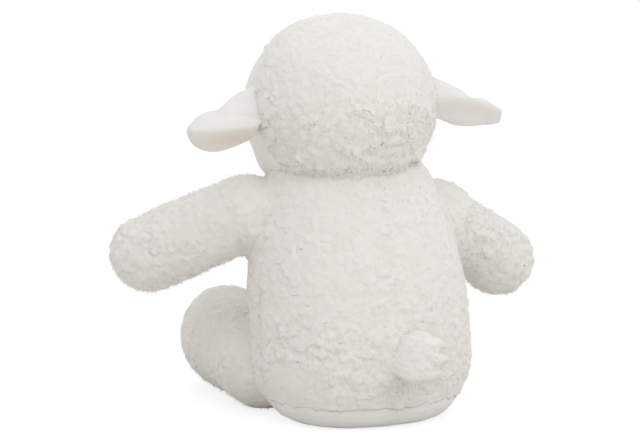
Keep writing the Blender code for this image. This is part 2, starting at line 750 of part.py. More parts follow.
def leaf_rings(side, middle):
    """Closed sections across a folded, drooping leaf of one velour layer, with that layer's middle shifted.

    Each runs up along the back of the layer and down along its front, in the frame of the ear's hinge.
    """
    rings = []
    steps = np.linspace(-1, 1, LEAF_STEPS + 1)
    for length, tall, deep in EAR_SHARES:
        along = length * EAR_LENGTH * math.cos(EAR_DROOP[side])
        drop_by = length * EAR_LENGTH * math.sin(EAR_DROOP[side])
        height = EAR_HALF_HEIGHT * tall
        ring = []
        for face, order in ((VELOUR / 2, steps), (-VELOUR / 2, steps[::-1])):
            for s in order:
                depth = EAR_FOLD * deep * (1 - s * s) + middle + face
                ring.append((along, side * depth, height * s - drop_by))
        rings.append(ring)
    return rings


def ear_hinge(side):
    """The middle of an ear's root and the way that its seam rises."""
    seam_up = Vector((0, -math.sin(FACE_SEAM_LEAN), math.cos(FACE_SEAM_LEAN)))
    back = FACE_SEAM_BACK - EAR_ABOVE * math.tan(FACE_SEAM_LEAN)
    outwards = Vector((side * math.sqrt(HEAD_RADIUS**2 - back**2 - EAR_ABOVE**2), back, EAR_ABOVE))
    return head_centre() + outwards.normalized() * (HEAD_RADIUS + EAR_BEAD_OUT), seam_up


def build_ear(side, nod, head_pieces, looks):
    """One ear: its back layer with the root's bead, its lining, and the groove for the bead."""
    middle, seam_up = ear_hinge(side)
    name = f"ear_{SIDE_NAMES[side]}"
    swing = pivot(name + "_swing", middle, (side, 0, 0), seam_up, nod)
    back = lofted(name + "_back", leaf_rings(side, 0), look=looks["velour"], parent=swing)
    bead = rod("ear_bead", swing.matrix_world, EAR_BEAD_RADIUS, EAR_BEAD_HALF)
    cut(back, bead, "UNION")
    half_groove = EAR_BEAD_HALF + BALL_GAP
    groove = rod("ear_groove", swing.matrix_world, EAR_BEAD_RADIUS + BALL_GAP, half_groove, SOCKET_SIDES)
    for piece in head_pieces.values():
        cut(piece, groove)
    rings = leaf_rings(side, -VELOUR - SEAM_GAP)
    lining = lofted(name + "_lining", rings, look=looks["lining"], parent=swing)
    room = rod("bead_room", swing.matrix_world, EAR_BEAD_RADIUS + SEAM_GAP, EAR_BEAD_HALF + OVERRUN)
    cut(lining, room)
    drop(bead, groove, room)


# Limbs


def split_limb(outer, inner, parts, parent, look):
    """The panels of a limb: its fabric, shared out over boxes in the limb's own frame."""
    skin = as_cutter(shell(outer, inner, "limb_skin", look))
    made = []
    for name, low, high in parts:
        region = box(name + "_region", low, high, parent=parent)
        bpy.context.view_layer.update()
        made.append(cut(copy_of(skin, name, look), region, "INTERSECT"))
        drop(region)
    drop(skin)
    return made


def stuff_limb(name, form, panels, ball_radius, outer, parent, look):
    """A limb's filling, which also fills the opening at the root that the limb is turned through."""
    filling = form(name, WOOL + SEAM_GAP, parent)
    filling.data.materials.append(look)
    ends = (ball_radius - ROOT_OPENING, ball_radius + OVERRUN)
    middle = Matrix.Translation((-(ends[0] + ends[1]) / 2, 0, 0)) @ Matrix.Rotation(math.pi / 2, 4, "Y")
    opening = rod("root_opening", parent.matrix_world @ middle, ROOT_OPENING, (ends[1] - ends[0]) / 2)
    plug = rod("root_plug", parent.matrix_world @ middle, ROOT_OPENING - SEAM_GAP, (ends[1] - ends[0]) / 2)
    for panel in panels:
        cut(panel, opening)
    cut(plug, outer, "INTERSECT")
    cut(filling, plug, "UNION")
    drop(opening, plug)
    return filling


def build_arm(side, torso_pieces, looks):
    """One arm: an outer and an inner panel over its filling, and the socket for its ball."""
    name = f"arm_{SIDE_NAMES[side]}"
    raise_axis = pivot(name + "_raise", shoulder(side), arm_direction(side), (0, 0, 1))
    outer = as_cutter(arm_form("arm_outer_form", 0, raise_axis))
    inner = as_cutter(arm_form("arm_inner_form", WOOL, raise_axis))
    reach = ARM_REACH + ARM_END_RADIUS + OVERRUN
    seam = SEAM_GAP / 2
    back_low, back_high = ((-reach, seam, -reach), (reach, reach, reach))
    front_low, front_high = ((-reach, -reach, -reach), (reach, -seam, reach))
    if side == RIGHT:
        back_low, back_high, front_low, front_high = front_low, front_high, back_low, back_high
    parts = ((name + "_outer", back_low, back_high), (name + "_inner", front_low, front_high))
    panels = split_limb(outer, inner, parts, raise_axis, looks["wool"])
    stuff_limb(name + "_stuffing", arm_form, panels, ARM_BALL_RADIUS, outer, raise_axis, looks["stuffing"])
    sections = [(0, ARM_BALL_RADIUS + BALL_GAP, ARM_BALL_RADIUS + BALL_GAP)]
    sections.append((ARM_REACH / 2, ARM_MIDDLE_RADIUS + BALL_GAP, ARM_MIDDLE_RADIUS + BALL_GAP))
    raised = arm_direction(side).cross(Vector((0, 0, 1))).normalized()
    turns = (ARM_LOWEST, ARM_HIGHEST)
    socket = swept_room(name + "_socket", raise_axis, ARM_BALL_RADIUS + BALL_GAP, sections, raised, turns)
    for piece in torso_pieces:
        cut(piece, socket)
    drop(outer, inner, socket)


def build_leg(side, torso_pieces, looks):
    """One leg: an outer and an inner panel and a sole over its filling, flat on the floor, and its socket."""
    name = f"leg_{SIDE_NAMES[side]}"
    swing = pivot(name + "_swing", hip(side), leg_direction(side), (0, 0, 1))
    outer = as_cutter(leg_form("leg_outer_form", 0, swing))
    inner = as_cutter(leg_form("leg_inner_form", WOOL, swing))
    reach = LEG_REACH + SOLE_OUT + OVERRUN
    side_reach = HIP_SIDE + reach
    front_corner = (-side_reach, -HIP_FORWARD - reach, -OVERRUN)
    floor = box("floor", front_corner, (side_reach, reach, 0))
    floor_inside = box("floor_inside", front_corner, (side_reach, reach, WOOL))
    stuffing_floor = box("floor_stuffing", front_corner, (side_reach, reach, WOOL + SEAM_GAP))
    cut(outer, floor)
    cut(inner, floor_inside)
    seam = SEAM_GAP / 2
    sole = LEG_REACH + SOLE_OUT * FOOT_SHARES[1][0]
    left_half = ((-reach, seam, -reach), (sole - seam, reach, reach))
    right_half = ((-reach, -reach, -reach), (sole - seam, -seam, reach))
    outside, inside = (left_half, right_half) if side == LEFT else (right_half, left_half)
    parts = (
        (name + "_outer", *outside),
        (name + "_inner", *inside),
        (name + "_sole", (sole + seam, -reach, -reach), (reach, reach, reach)),
    )
    panels = split_limb(outer, inner, parts, swing, looks["wool"])
    panels[-1].data.materials.clear()
    panels[-1].data.materials.append(looks["velour"])
    stuffing = looks["stuffing"]
    filling = stuff_limb(name + "_stuffing", leg_form, panels[:2], LEG_BALL_RADIUS, outer, swing, stuffing)
    cut(filling, stuffing_floor)
    sections = [(0, LEG_BALL_RADIUS + BALL_GAP, LEG_BALL_RADIUS + BALL_GAP)]
    for share, half_width, half_height in leg_middle()[:2]:
        sections.append((share * LEG_REACH, half_width + BALL_GAP, half_height + BALL_GAP))
    turns = (LEG_INWARD, LEG_OUTWARD)
    spread = Vector((0, 0, side))
    socket = swept_room(name + "_socket", swing, LEG_BALL_RADIUS + BALL_GAP, sections, spread, turns)
    for piece in torso_pieces:
        cut(piece, socket)
    drop(outer, inner, floor, floor_inside, stuffing_floor, socket)


# Tail


def build_tail(torso_pieces, looks):
    """The tail: two wool halves with a bead at the root, and the groove for it in the middle seam."""
    _, half_depth, lean = torso_section(TAIL_HEIGHT / TORSO_HEIGHT)
    middle = Vector((lean * LEAN_LEFT, half_depth - lean * LEAN_FORWARD + TAIL_BEAD_OUT, TAIL_HEIGHT))
    points = Vector((-math.sin(TAIL_TURN), math.cos(TAIL_TURN), 0))
    wag = pivot("tail_wag", middle, points, (0, 0, 1))
    rings = []
    for along, tall, thick in TAIL_SHARES:
        section = ellipse(TAIL_HALF_THICKNESS * thick, TAIL_HALF_HEIGHT * tall, LIMB_SIDES)
        rings.append([(along * TAIL_LENGTH, a, b) for a, b in section])
    whole = as_cutter(lofted("tail_form", rings, end=(TAIL_LENGTH, 0, 0), parent=wag))
    bead = rod("tail_bead", Matrix.Translation(middle), TAIL_BEAD_RADIUS, TAIL_BEAD_HALF)
    cut(whole, bead, "UNION")
    half_groove = TAIL_BEAD_HALF + BALL_GAP
    groove_frame = Matrix.Translation(middle)
    groove = rod("tail_groove", groove_frame, TAIL_BEAD_RADIUS + BALL_GAP, half_groove, SOCKET_SIDES)
    for piece in torso_pieces:
        cut(piece, groove)
    reach = TAIL_LENGTH + OVERRUN
    seam = SEAM_GAP / 2
    for side, low, high in (
        (LEFT, (-reach, -reach, -reach), (reach, -seam, reach)),
        (RIGHT, (-reach, seam, -reach), (reach, reach, reach)),
    ):
        region = box("tail_region", low, high, parent=wag)
        bpy.context.view_layer.update()
        cut(copy_of(whole, f"tail_{SIDE_NAMES[side]}", looks["wool"]), region, "INTERSECT")
        drop(region)
    drop(whole, bead, groove)


def shade_all():
    """Round pieces are shaded smooth, with their cut edges left sharp."""
    for piece in bpy.context.scene.collection.objects:
        if piece.type == "MESH":
            piece.data.shade_smooth()
            piece.data.set_sharp_from_angle(angle=math.radians(40))


def build_sheep():
    """The whole sheep."""
    clear_scene()
    looks = {
        "wool": material("curly_wool", (0.80, 0.78, 0.73), 0.95),
        "velour": material("white_velour", (0.84, 0.83, 0.79), 0.85),
        "lining": material("cream_velour", (0.78, 0.72, 0.64), 0.85),
        "stuffing": material("fibre_stuffing", (0.88, 0.88, 0.87), 1.0),
        "cotton": material("pouch_cotton", (0.72, 0.68, 0.60), 0.9),
        "eye": material("eye_gloss", (0.015, 0.010, 0.008), 0.08),
        "plastic": material("washer_plastic", (0.75, 0.75, 0.74), 0.4),
        "thread": material("nose_thread", (0.30, 0.19, 0.16), 0.6),
    }
    torso_pieces, _ = build_torso(looks)
    turn = build_neck(torso_pieces, looks)
    nod, head_pieces = build_head(turn, looks)
    build_stitching(head_pieces["head_face"], nod, looks)
    for side in (LEFT, RIGHT):
        build_eye(side, nod, head_pieces, looks)
        build_ear(side, nod, head_pieces, looks)
        build_arm(side, torso_pieces, looks)
        build_leg(side, torso_pieces, looks)
    build_tail(torso_pieces, looks)
    shade_all()


build_sheep()
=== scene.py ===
"""Dressed plush sheep: wool and velour panels over their filling, eyes, stitching, pale floor, light and camera.

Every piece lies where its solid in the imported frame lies, in metres, +Z up. The sheep faces -Y, its left is +X.
"""

import logging
import math
from dataclasses import dataclass
from enum import Enum

import bmesh
import bpy
import numpy as np
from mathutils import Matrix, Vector


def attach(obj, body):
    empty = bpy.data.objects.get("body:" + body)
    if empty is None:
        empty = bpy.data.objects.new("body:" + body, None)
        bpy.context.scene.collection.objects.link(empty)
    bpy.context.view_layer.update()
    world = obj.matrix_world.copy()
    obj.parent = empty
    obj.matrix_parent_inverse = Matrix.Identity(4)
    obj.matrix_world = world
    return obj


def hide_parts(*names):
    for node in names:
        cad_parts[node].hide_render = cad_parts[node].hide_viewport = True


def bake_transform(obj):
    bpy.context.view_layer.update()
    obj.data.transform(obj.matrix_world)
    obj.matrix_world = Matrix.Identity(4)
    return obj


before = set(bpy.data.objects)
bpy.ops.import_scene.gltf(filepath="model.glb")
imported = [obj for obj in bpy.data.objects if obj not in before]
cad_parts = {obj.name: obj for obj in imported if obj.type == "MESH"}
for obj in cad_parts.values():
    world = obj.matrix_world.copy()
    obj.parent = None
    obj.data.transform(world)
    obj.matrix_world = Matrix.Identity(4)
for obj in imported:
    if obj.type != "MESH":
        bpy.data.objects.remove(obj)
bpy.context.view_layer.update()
LOG = logging.getLogger("sheep")

Array = np.ndarray
MM = 0.001
NONE = np.zeros((0, 3), int)
UP = np.array((0.0, 0.0, 1.0))


class Side(Enum):
    """A side of the sheep, by the sign of X there."""

    LEFT = 1
    RIGHT = -1

    @property
    def word(self) -> str:
        """The side's name in the names of its pieces."""
        return self.name.lower()


# Noise on points in space


def hashed(cells: Array, seed: int) -> Array:
    """Gives each whole-number cell its own number.

    Formula: the three indexes and the seed, each times a large odd number, are joined bit by bit and stirred twice.

    Args:
        cells: Whole numbers, with x, y and z in the last axis.
        seed: Picks another set of numbers.

    Returns:
        Numbers from 0 to 1, one for each cell.
    """
    mask = np.uint64(0xFFFFFFFF)
    parts = cells.astype(np.int64).astype(np.uint64) & mask
    mixed = (parts[..., 0] * np.uint64(0x9E3779B1)) & mask
    mixed ^= (parts[..., 1] * np.uint64(0x85EBCA77)) & mask
    mixed ^= (parts[..., 2] * np.uint64(0xC2B2AE3D)) & mask
    mixed ^= np.uint64((seed * 0x27D4EB2F) & 0xFFFFFFFF)
    for shift, factor in ((15, 0x2C1B3C6D), (12, 0x297A2D39)):
        mixed ^= mixed >> np.uint64(shift)
        mixed = (mixed * np.uint64(factor)) & mask
    mixed ^= mixed >> np.uint64(15)
    return mixed.astype(float) / float(0xFFFFFFFF)


def smooth_noise(points: Array, size: float, seed: int) -> Array:
    """Noise that swells and dips over about one size.

    Formula: hashed numbers at the corners of a cubic lattice, blended by 6f^5 - 15f^4 + 10f^3 along each axis.

    Args:
        points: Points, with x, y and z in the last axis.
        size: The lattice's pitch, in metres.
        seed: Picks another noise.

    Returns:
        Numbers from -1 to 1, one for each point.
    """
    scaled = points / size
    cell = np.floor(scaled)
    part = scaled - cell
    weight = part**3 * (part * (part * 6 - 15) + 10)
    total = np.zeros(points.shape[:-1])
    for corner in np.ndindex(2, 2, 2):
        share = np.prod(np.where(np.array(corner) == 1, weight, 1 - weight), axis=-1)
        total += share * hashed(cell + np.array(corner), seed)
    return total * 2 - 1


def noise_vectors(points: Array, size: float, seed: int) -> Array:
    """Three independent smooth noises as vectors, one for each point."""
    return np.stack([smooth_noise(points, size, seed + step) for step in (101, 211, 307)], -1)


def cell_noise(points: Array, size: float, seed: int) -> tuple[Array, Array, Array]:
    """Cells round scattered points, as clumps lie in a pile.

    Formula: each lattice cube holds one point at a hashed place, and each input point finds the nearest two of them.

    Args:
        points: Points, with x, y and z in the last axis.
        size: The lattice's pitch, in metres.
        seed: Picks another scatter.

    Returns:
        The gap, which is 0 on the border of a cell and grows inwards, in sizes; the cell; and the way to its middle.
    """
    scaled = points / size
    home = np.floor(scaled)
    nearest = np.full(points.shape[:-1], 9.0)
    second = nearest.copy()
    owner = home.copy()
    towards = np.zeros_like(points)
    for step in np.ndindex(3, 3, 3):
        cell = home + np.array(step) - 1
        spot = np.stack([hashed(cell, seed + channel) for channel in range(3)], -1)
        way = cell + spot - scaled
        away = np.linalg.norm(way, axis=-1)
        closer = away < nearest
        second = np.where(closer, nearest, np.minimum(second, away))
        nearest = np.where(closer, away, nearest)
        owner = np.where(closer[..., None], cell, owner)
        towards = np.where(closer[..., None], way, towards)
    return second - nearest, owner, towards * size


def smooth_profile(knots: Array, values: Array, at: Array) -> Array:
    """A smooth curve through a table.

    Formula: a cubic between each two knots, whose slope at a knot is that of the curve through it and its neighbours.

    Args:
        knots: Rising places of the table.
        values: The table's values there.
        at: The places wanted.

    Returns:
        The curve's values.
    """
    slopes = np.gradient(values, knots)
    left = np.clip(np.searchsorted(knots, at, side="right") - 1, 0, len(knots) - 2)
    span = knots[left + 1] - knots[left]
    part = np.clip((at - knots[left]) / span, 0, 1)
    start = (1 + 2 * part) * (1 - part) ** 2 * values[left] + part * (1 - part) ** 2 * span * slopes[left]
    end = part**2 * (3 - 2 * part) * values[left + 1] + part**2 * (part - 1) * span * slopes[left + 1]
    return start + end


def unit(vectors: Array) -> Array:
    """The vectors at length one. One of no length stays so."""
    return vectors / np.maximum(np.linalg.norm(vectors, axis=-1, keepdims=True), 1e-12)


def ramp(values: Array, low: float, high: float) -> Array:
    """A smooth step from 0 at low to 1 at high."""
    part = np.clip((values - low) / (high - low), 0, 1)
    return part * part * (3 - 2 * part)


def grid_normals(grid: Array, middle: Array) -> Array:
    """The outward normal at each point of a grid.

    Formula: the cross product of the steps along rows and columns, turned to point away from the middle.

    Args:
        grid: Points by row and column.
        middle: A point inside.

    Returns:
        Unit vectors, of the grid's shape. A row that is drawn together to a pole takes its neighbour's mean.
    """
    normals = np.cross(np.gradient(grid, axis=0), np.gradient(grid, axis=1))
    for row, beside in ((0, 1), (-1, -2)):
        if np.ptp(grid[row], axis=0).max() < 1e-7:
            normals[row] = unit(unit(normals[beside]).mean(axis=0))
    normals = unit(normals)
    if (normals * (grid - middle)).sum() < 0:
        normals = -normals
    return normals


def past_ends(values: Array) -> Array:
    """Evenly spaced values with one more at each end."""
    return np.concatenate([[2 * values[0] - values[1]], values, [2 * values[-1] - values[-2]]])


def trimmed(wide: Array, middle: Array) -> tuple[Array, Array]:
    """A grid without its outer columns, which lie past its seams, and the normals that they help to find."""
    return wide[:, 1:-1], grid_normals(wide, middle)[:, 1:-1]


# Meshes


def mesh_object(
    name: str, points: Array, quads: Array, triangles: Array = NONE, facets: Array = NONE
) -> bpy.types.Object:
    """Makes an object of quads and triangles.

    Args:
        name: The object's name.
        points: Its points, in metres.
        quads: Four indexes for each quad.
        triangles: Three indexes for each triangle.
        facets: Three indexes for each triangle that is shaded flat.

    Returns:
        The object, at the origin.
    """
    mesh = bpy.data.meshes.new(name)
    smooth = np.arange(len(quads) + len(triangles) + len(facets)) < len(quads) + len(triangles)
    triangles = np.concatenate([triangles, facets])
    corners = np.concatenate([quads.ravel(), triangles.ravel()]).astype(np.int32)
    starts = np.concatenate(
        [np.arange(len(quads)) * 4, len(quads) * 4 + np.arange(len(triangles)) * 3]
    ).astype(np.int32)
    mesh.vertices.add(len(points))
    mesh.vertices.foreach_set("co", points.astype(np.float32).ravel())
    mesh.loops.add(len(corners))
    mesh.loops.foreach_set("vertex_index", corners)
    mesh.polygons.add(len(starts))
    mesh.polygons.foreach_set("loop_start", starts)
    mesh.polygons.foreach_set("use_smooth", smooth)
    mesh.update(calc_edges=True)
    mesh.validate()
    made = bpy.data.objects.new(name, mesh)
    bpy.context.scene.collection.objects.link(made)
    return made


def closed_up(made: bpy.types.Object, near: float = 2e-6) -> bpy.types.Object:
    """Merges an object's equal points, drops faces of no area and turns the rest outwards."""
    shape = bmesh.new()
    shape.from_mesh(made.data)
    bmesh.ops.remove_doubles(shape, verts=shape.verts, dist=near)
    bmesh.ops.dissolve_degenerate(shape, edges=shape.edges, dist=near)
    bmesh.ops.recalc_face_normals(shape, faces=shape.faces)
    shape.to_mesh(made.data)
    shape.free()
    mark_rims(made.data)
    return made


def mark_rims(mesh: bpy.types.Mesh) -> None:
    """Marks the edges between smooth and flat faces sharp, so that a seam isn't shaded as if it were rounded."""
    smooth, corners = np.empty(len(mesh.polygons), bool), np.empty(len(mesh.polygons), np.int32)
    mesh.polygons.foreach_get("use_smooth", smooth)
    mesh.polygons.foreach_get("loop_total", corners)
    edge = np.empty(len(mesh.loops), np.int32)
    mesh.loops.foreach_get("edge_index", edge)
    smooth = np.repeat(smooth, corners)
    meets = [np.bincount(edge[part], minlength=len(mesh.edges)) > 0 for part in (smooth, ~smooth)]
    mesh.edges.foreach_set("use_edge_sharp", meets[0] & meets[1])


def grid_quads(rows: int, columns: int, first: int = 0) -> Array:
    """The quads of a grid whose points count along the rows, from a first index."""
    corner = first + (np.arange(rows - 1)[:, None] * columns + np.arange(columns - 1)[None, :]).ravel()
    return np.stack([corner, corner + 1, corner + columns + 1, corner + columns], -1)


def grid_rim(rows: int, columns: int, first: int = 0) -> list[Array]:
    """The four sides of a grid as runs of indexes, each ending where the next starts."""
    index = first + np.arange(rows * columns).reshape(rows, columns)
    return [index[0], index[:, -1], index[-1, ::-1], index[::-1, 0]]


def shell_faces(fine: tuple[int, int], coarse: tuple[int, int]) -> tuple[Array, Array]:
    """Joins a fine grid and a coarser grid behind it into one closed shell.

    Formula: along each side, every fine step makes a triangle with the coarse point at the same share of the side,
    and every coarse step makes one with the fine point that it is reached at.

    Args:
        fine: Rows and columns of the outer grid, whose points come first.
        coarse: Rows and columns of the inner grid.

    Returns:
        The quads and the triangles.
    """
    first = fine[0] * fine[1]
    quads = np.concatenate([grid_quads(*fine), grid_quads(*coarse, first)[:, ::-1]])
    triangles = []
    for outer, inner in zip(grid_rim(*fine), grid_rim(*coarse, first)):
        reached = inner[np.round(np.linspace(0, len(inner) - 1, len(outer))).astype(int)]
        here, there = reached[:-1], reached[1:]
        triangles.append(np.stack([outer[1:], outer[:-1], here], -1))
        moved = here != there
        triangles.append(np.stack([outer[1:], here, there], -1)[moved])
    return quads, np.concatenate(triangles)


# Finishes


class Tree:
    """A shader tree under construction."""

    def __init__(self, tree: bpy.types.NodeTree) -> None:
        """Holds the tree that nodes are added to."""
        self.tree = tree

    def add(self, kind: str, inputs: dict | None = None, **settings: object) -> bpy.types.Node:
        """Adds a node.

        Args:
            kind: The node's type.
            inputs: Values and sockets by input name.
            settings: The node's own settings.

        Returns:
            The node.
        """
        node = self.tree.nodes.new(kind)
        for name, value in settings.items():
            setattr(node, name, value)
        for name, value in (inputs or {}).items():
            self.set(node.inputs[name], value)
        return node

    def set(self, socket: bpy.types.NodeSocket, value: object) -> None:
        """Sets an input to a value, or links it to a socket."""
        if isinstance(value, bpy.types.NodeSocket):
            self.tree.links.new(value, socket)
        else:
            socket.default_value = value

    def maths(self, operation: str, *values: object) -> bpy.types.NodeSocket:
        """The result of a Math node on values and sockets."""
        node = self.add("ShaderNodeMath", operation=operation)
        for socket, value in zip(node.inputs, values):
            self.set(socket, value)
        return node.outputs[0]


def new_group(name: str, inputs: dict[str, tuple[str, object]], outputs: dict[str, str]) -> tuple:
    """Makes a shader node group.

    Args:
        name: The group's name.
        inputs: The kind of socket and its value, by name.
        outputs: The kind of socket, by name.

    Returns:
        The group, its Tree, its input node and its output node.
    """
    group = bpy.data.node_groups.new(name, "ShaderNodeTree")
    for label, (kind, value) in inputs.items():
        socket = group.interface.new_socket(label, in_out="INPUT", socket_type=kind)
        if value is not None:
            socket.default_value = value
    for label, kind in outputs.items():
        group.interface.new_socket(label, in_out="OUTPUT", socket_type=kind)
    tree = Tree(group)
    return group, tree, tree.add("NodeGroupInput"), tree.add("NodeGroupOutput")


def fibre_group() -> bpy.types.NodeTree:
    """Fine fibres for a Bump node: two noises, one of them drawn out along a slowly turning way.

    Returns:
        The group, which takes the place, the fibre's width and the softness, and gives a height and a mask.
    """
    group, tree, given, put = new_group(
        "fibres",
        {
            "Place": ("NodeSocketVector", None),
            "Scale": ("NodeSocketFloat", 900.0),
            "Stretch": ("NodeSocketFloat", 3.0),
        },
        {"Height": "NodeSocketFloat", "Mask": "NodeSocketFloat"},
    )
    scale = given.outputs["Scale"]
    wander = tree.add("ShaderNodeTexNoise", {"Vector": given.outputs["Place"], "Scale": 120.0, "Detail": 2.0})
    turned = tree.add(
        "ShaderNodeVectorMath",
        {0: wander.outputs["Color"], 1: (0.02, 0.02, 0.02)},
        operation="MULTIPLY",
    )
    place = tree.add(
        "ShaderNodeVectorMath", {0: given.outputs["Place"], 1: turned.outputs[0]}, operation="ADD"
    )
    fine = tree.add(
        "ShaderNodeTexNoise",
        {"Vector": place.outputs[0], "Scale": scale, "Detail": 3.0, "Roughness": 0.6},
    )
    slim = tree.add("ShaderNodeCombineXYZ", {"X": 1.0, "Y": 1.0, "Z": 1.0})
    long_way = tree.maths("DIVIDE", 1.0, given.outputs["Stretch"])
    tree.set(slim.inputs["Z"], long_way)
    drawn = tree.add(
        "ShaderNodeVectorMath", {0: place.outputs[0], 1: slim.outputs[0]}, operation="MULTIPLY"
    )
    streaks = tree.add(
        "ShaderNodeTexNoise", {"Vector": drawn.outputs[0], "Scale": scale, "Detail": 2.0, "Roughness": 0.5}
    )
    height = tree.maths("ADD", fine.outputs["Fac"], streaks.outputs["Fac"])
    tree.set(put.inputs["Height"], tree.maths("MULTIPLY", height, 0.5))
    tree.set(put.inputs["Mask"], fine.outputs["Fac"])
    return group


def tint_group() -> bpy.types.NodeTree:
    """Uneven dye and painted shade: a colour that drifts between two over the surface, and goes further towards the
    dark one where painted shade is given.

    Returns:
        The group, which takes the place, two colours, a scale, the drift and the painted shade, and gives a colour.
    """
    group, tree, given, put = new_group(
        "uneven_tint",
        {
            "Place": ("NodeSocketVector", None),
            "Light": ("NodeSocketColor", (0.8, 0.8, 0.8, 1.0)),
            "Dark": ("NodeSocketColor", (0.7, 0.7, 0.7, 1.0)),
            "Scale": ("NodeSocketFloat", 60.0),
            "Drift": ("NodeSocketFloat", 0.6),
            "Depth": ("NodeSocketFloat", 0.0),
        },
        {"Color": "NodeSocketColor"},
    )
    drift = tree.add(
        "ShaderNodeTexNoise",
        {"Vector": given.outputs["Place"], "Scale": given.outputs["Scale"], "Detail": 3.0, "Roughness": 0.6},
    )
    spread = tree.add("ShaderNodeMapRange", {"Value": drift.outputs["Fac"], "From Min": 0.3, "From Max": 0.7})
    part = tree.maths("MULTIPLY", spread.outputs[0], given.outputs["Drift"])
    # Painted shade pushes the mix further towards the dark colour.
    part = tree.maths("ADD", part, given.outputs["Depth"])
    mixed = tree.add("ShaderNodeMix", data_type="RGBA", clamp_factor=True)
    tree.set(mixed.inputs["Factor"], part)
    tree.set(mixed.inputs[6], given.outputs["Light"])
    tree.set(mixed.inputs[7], given.outputs["Dark"])
    tree.set(put.inputs["Color"], mixed.outputs[2])
    return group


def begun_material(finish: "Finish | HardFinish", scale: float) -> tuple:
    """Begins a finish's material with its uneven tint.

    Args:
        finish: The finish, whose name the material takes.
        scale: The scale of the tint.

    Returns:
        The material, its tree, its shader, the place on the object and the tint's node.
    """
    made = bpy.data.materials.new(f"{finish.name}_finish")
    made.use_nodes = True
    tree = Tree(made.node_tree)
    shader = made.node_tree.nodes["Principled BSDF"]
    place = tree.add("ShaderNodeTexCoord").outputs["Object"]
    tint = tree.add("ShaderNodeGroup", node_tree=bpy.data.node_groups["uneven_tint"])
    tree.set(tint.inputs["Place"], place)
    tree.set(tint.inputs["Light"], (*finish.light, 1.0))
    tree.set(tint.inputs["Dark"], (*finish.dark, 1.0))
    tree.set(tint.inputs["Scale"], scale)
    return made, tree, shader, place, tint


@dataclass(frozen=True)
class Finish:
    """A fibrous finish: its colours, its fibres and how it takes light."""

    name: str
    light: tuple[float, float, float]
    dark: tuple[float, float, float]
    roughness: float = 0.95
    sheen: float = 0.25
    soft: float = 0.0
    tint_scale: float = 70.0
    fibre_scale: float = 900.0
    fibre_stretch: float = 3.0
    bump: float = 0.25
    bump_reach: float = 0.0006
    # How far the depth attribute's painted shade darkens the colour towards the dark one.
    deep: float = 0.0

    def material(self) -> bpy.types.Material:
        """Makes the material, or finds it if it was made before.

        Returns:
            A Principled material whose colour drifts over the surface and is darkened by painted shade in the pile's
            depth.
        """
        found = bpy.data.materials.get(f"{self.name}_finish")
        if found:
            return found
        made, tree, shader, place, tint = begun_material(self, self.tint_scale)
        # Painted shade: the depth attribute darkens the colour in the pile's hollows, at the locks' roots and on shaded
        # panels.
        if self.deep:
            tree.set(tint.inputs["Drift"], 0.2)
            depth = tree.add("ShaderNodeAttribute", attribute_name="depth").outputs["Fac"]
            tree.set(tint.inputs["Depth"], tree.maths("MULTIPLY", depth, self.deep))
        fibres = tree.add("ShaderNodeGroup", node_tree=bpy.data.node_groups["fibres"])
        tree.set(fibres.inputs["Place"], place)
        tree.set(fibres.inputs["Scale"], self.fibre_scale)
        tree.set(fibres.inputs["Stretch"], self.fibre_stretch)
        bump = tree.add("ShaderNodeBump", {"Strength": self.bump, "Distance": self.bump_reach})
        tree.set(bump.inputs["Height"], fibres.outputs["Height"])
        tree.set(shader.inputs["Base Color"], tint.outputs["Color"])
        tree.set(shader.inputs["Normal"], bump.outputs["Normal"])
        shader.inputs["Roughness"].default_value = self.roughness
        shader.inputs["Specular IOR Level"].default_value = 0.15
        shader.inputs["Sheen Weight"].default_value = self.sheen
        shader.inputs["Sheen Roughness"].default_value = 0.6
        if self.soft:
            shader.inputs["Subsurface Weight"].default_value = self.soft
            shader.inputs["Subsurface Radius"].default_value = (1.0, 0.9, 0.8)
            shader.inputs["Subsurface Scale"].default_value = 2.2 * MM
        return made


# The wool's dark colour is painted shade in the pile's hollows and on the shaded legs; its drift between the two
# colours is uneven dye.
WOOL = Finish("curly_wool", (0.838, 0.822, 0.791), (0.715, 0.670, 0.615), deep=0.18, bump=0.25, sheen=0.4)
VELOUR = Finish(
    "white_velour", (0.86, 0.85, 0.82), (0.82, 0.805, 0.765), fibre_scale=1500.0, bump=0.2, sheen=0.35
)
# The ear's dark colour is painted shade under the ridge, where the back faces down.
EAR = Finish(
    "ear_velour", (0.805, 0.800, 0.790), (0.725, 0.645, 0.555), fibre_scale=1500.0, bump=0.2, sheen=0.3, deep=1.0
)
LINING = Finish("cream_velour", (0.80, 0.745, 0.665), (0.75, 0.685, 0.60), fibre_scale=1500.0, bump=0.2, sheen=0.35)
# The stuffing's dark colour is painted shade in the dips of its lumps.
STUFFING = Finish("fibre_stuffing", (0.90, 0.90, 0.89), (0.84, 0.84, 0.83), fibre_scale=600.0, bump=0.6, deep=0.4)
COTTON = Finish("pouch_cotton", (0.74, 0.70, 0.62), (0.68, 0.64, 0.56), fibre_scale=1200.0, bump=0.4, sheen=0.1)
THREAD = Finish("nose_thread", (0.33, 0.21, 0.175), (0.26, 0.165, 0.14), 0.6, fibre_scale=2200.0, bump=0.3)


